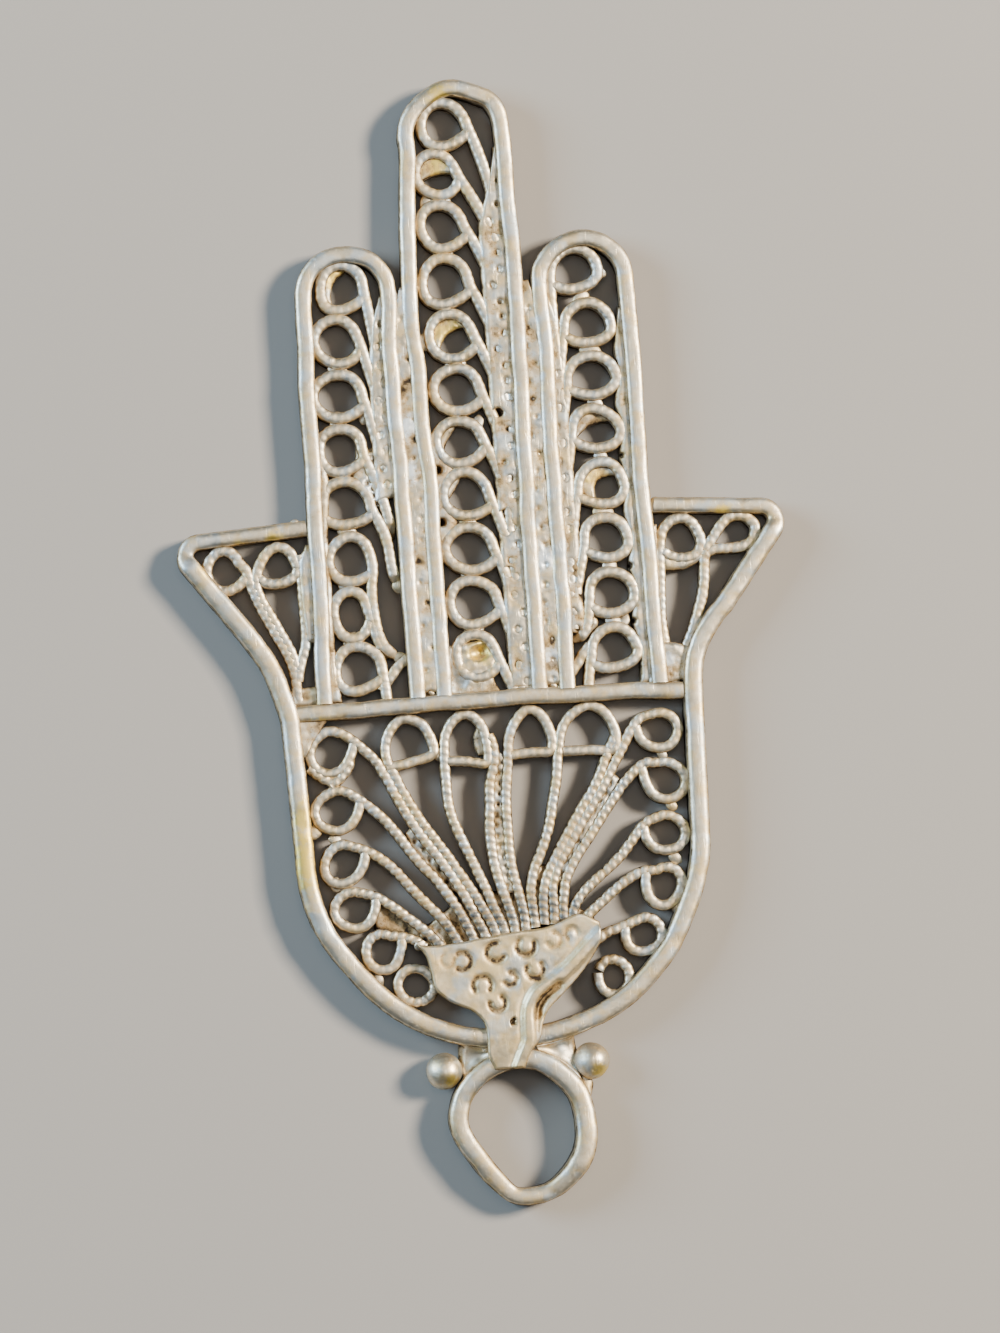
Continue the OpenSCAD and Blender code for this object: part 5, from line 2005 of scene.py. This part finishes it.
DROPS = {
    "middle_finger_scrolls": ((-1.5, 23.5, 0.5), (0.45, 11.6, 0.4)),
    "left_finger_scrolls": (
        (-5.6, 12.2, 0.42), (-5.4, 10.1, 0.5), (-5.5, 7.0, 0.36), (-4.3, 3.05, 0.5), (-4.5, -0.8, 0.5),
    ),
    "right_finger_scrolls": ((5.6, 0.5, 0.45), (7.5, 0.55, 0.4)),
    "left_thumb_scrolls": ((-12.2, 3.9, 0.5),),
    "right_thumb_scrolls": ((12.05, 4.0, 0.42), (14.4, 4.1, 0.4)),
    "palm_scrolls": (
        (3.35, -5.8, 0.45), (6.5, -6.0, 0.4), (-2.75, -6.0, 0.42), (0.3, -6.4, 0.45), (-5.5, -6.5, 0.36),
        (-8.6, -7.15, 0.36), (-8.7, -10.1, 0.36), (-8.8, -12.5, 0.42), (9.0, -6.75, 0.36), (9.3, -9.5, 0.36),
        (9.3, -12.3, 0.42), (-9.7, -9.6, 0.5), (-9.5, -6.4, 0.4), (9.4, -14.9, 0.5), (5.6, -19.5, 0.5),
        (-6.9, -17.7, 0.4), (-1.45, -3.75, 0.35), (2.0, -3.75, 0.35), (5.3, -3.75, 0.35),
        (-4.7, -3.75, 0.35),
    ),
    "fan_plate": ((1.0, -21.9, 0.4), (-1.45, -21.6, 0.35), (-4.6, -16.0, 0.35), (4.7, -16.2, 0.38)),
    "hand_rim": ((-9.75, 6.6, 0.42), (9.55, 6.55, 0.45)),
    "cross_bar": (
        (-10.25, -3.4, 0.5), (9.95, -3.3, 0.5), (-2.5, -2.95, 0.4), (2.6, -2.95, 0.4), (-8.8, -2.95, 0.4),
        (8.85, -2.95, 0.4), (-3.9, -2.95, 0.4), (3.95, -2.95, 0.4),
    ),
}


@dataclass(frozen=True)
class SolderDrops:
    """Frozen drops where the ribbon touches itself and the frame, and in half-filled curls.

    Attributes:
        low: Height of the drops on the filigree.
        high: Height of the drops on the wires and the plate.
        leg_share: How many of the curls have a drop against the finger's leg.
    """

    low: float = 0.98
    high: float = 1.25
    leg_share: float = 0.75

    def touches(self, curls: tuple[tuple[float, ...], ...], wall: int) -> list[Triple]:
        """Drops between the curls of a finger and against its leg.

        Args:
            curls: The finger's curls.
            wall: 1 if they touch the right leg, -1 for the left one.

        Returns:
            Place and size of each drop.
        """
        made = []
        for upper, lower in zip(curls, curls[1:]):
            x, y = (upper[0] + lower[0]) / 2, (upper[1] + lower[1]) / 2
            made.append((x + random.uniform(-0.1, 0.1), y, random.uniform(0.5, 0.66)))
        for x, y, width, _, _ in curls:
            if random.random() < self.leg_share:
                made.append((x + wall * width * 0.5, y + random.uniform(-0.3, 0.3),
                             random.uniform(0.32, 0.5)))
        return made

    def make(self, shop: Workshop) -> None:
        """Builds and dresses the drops, node by node.

        Args:
            shop: Makes the pieces.
        """
        columns = {"middle_finger_scrolls": (MIDDLE_CURLS, -1), "left_finger_scrolls": (LEFT_CURLS, -1),
                   "right_finger_scrolls": (RIGHT_CURLS, 1)}
        for node, spots in DROPS.items():
            spots = list(spots) + (self.touches(*columns[node]) if node in columns else [])
            height = self.low if node.endswith("_scrolls") else self.high
            mesh = bpy.data.meshes.new(f"{node}_points")
            places = row_place([(x, y) for x, y, _ in spots])
            mesh.from_pydata([(x * MM, y * MM, height * MM) for x, y in places], [], [])
            keep(mesh, "size", [size * MM for _, _, size in spots])
            shop.grow(f"{node}_solder_drops", node, mesh, shop.drops, Slot.SOLDER)


@dataclass(frozen=True)
class Studio:
    """The table, the soft lights and the camera at the photograph's angle.

    Attributes:
        turn: Turn of the picture in degrees.
        lean_left: How far the camera stands to the left, in degrees.
        lean_down: How far it stands below, in degrees.
        aim: Point in mm that it looks at, 1 mm above the table.
        distance: Its distance in mm.
        view_height: Height in mm that the picture shows.
        gap: How far in mm the table lies under the hand.
        sky: Brightness of the sky.
        lamps: Name, place in m, size in m, power in W and colour of each lamp.
    """

    turn: float = 4.0
    lean_left: float = 4.0
    lean_down: float = 3.0
    aim: Pair = (0.52, -1.345)
    distance: float = 300.0
    view_height: float = 70.9
    gap: float = 0.02
    sky: float = 0.06
    lamps: tuple[tuple[str, Triple, float, float, Triple], ...] = (
        ("warm_key", (0.34, 0.1, 0.3), 0.1, 5.6, (1.0, 0.86, 0.68)),
        ("cool_fill", (-0.36, 0.14, 0.2), 0.2, 2.5, (0.6, 0.82, 1.0)),
        ("top_sheet", (0.0, 0.05, 0.5), 0.2, 0.35, (1.0, 0.96, 0.9)),
    )

    def make(self) -> None:
        """Builds the stage."""
        self.table()
        self.lights()
        self.camera()

    def table(self) -> None:
        """Lays the table just under the hand."""
        shape = bmesh.new()
        bmesh.ops.create_grid(shape, x_segments=8, y_segments=8, size=0.6)
        mesh = bpy.data.meshes.new("table_top")
        shape.to_mesh(mesh)
        shape.free()
        mesh.materials.append(TableFinish().build())
        mesh.transform(Matrix.Translation((0.0, 0.0, -self.gap * MM)))
        stand("table_top", mesh)

    def lights(self) -> None:
        """Hangs a warm key on the right, a cool fill on the left and a pale sky."""
        world = bpy.data.worlds.new("studio_sky")
        world.use_nodes = True
        background = world.node_tree.nodes["Background"]
        background.inputs[0].default_value = (0.86, 0.92, 1.0, 1.0)
        background.inputs[1].default_value = self.sky
        bpy.context.scene.world = world
        for name, place, size, power, colour in self.lamps:
            light = bpy.data.lights.new(name, "AREA")
            light.size, light.energy, light.color = size, power, colour
            lamp = stand(name, light)
            lamp.location = place
            lamp.rotation_mode = "QUATERNION"
            lamp.rotation_quaternion = (-Vector(place)).to_track_quat("-Z", "Y")

    def camera(self) -> None:
        """Stands the camera over the hand, turned as the photograph was."""
        data = bpy.data.cameras.new("table_camera")
        data.sensor_width = 36.0
        data.lens = data.sensor_width / 2 / (self.view_height / 2 / self.distance)
        data.clip_start, data.clip_end = 0.01, 10.0
        camera = stand("table_camera", data)
        back = Vector((-math.tan(math.radians(self.lean_left)), -math.tan(math.radians(self.lean_down)), 1.0))
        back.normalize()
        turn = math.radians(self.turn)
        up = Vector((math.sin(turn), math.cos(turn), 0.0))
        across = up.cross(back).normalized()
        axes = Matrix((across, back.cross(across), back)).transposed().to_4x4()
        target = Vector((*self.aim, 1.0)) * MM
        camera.matrix_world = Matrix.Translation(target + back * self.distance * MM) @ axes
        bpy.context.scene.camera = camera


def main() -> None:
    """Builds the sub-assemblies in order."""
    logging.basicConfig(level=logging.INFO, format="%(name)s: %(message)s")
    random.seed(SEED)
    noise.seed_set(SEED)
    shop = Workshop()
    makers = (FrameWires(), FingerScrolls(), ThumbScrolls(), PalmScrolls(), FanPlate(), BailRing(), *POOLS,
              SolderDrops())
    for maker in makers:
        maker.make(shop)
    Studio().make()


if __name__ == "__main__":
    main()
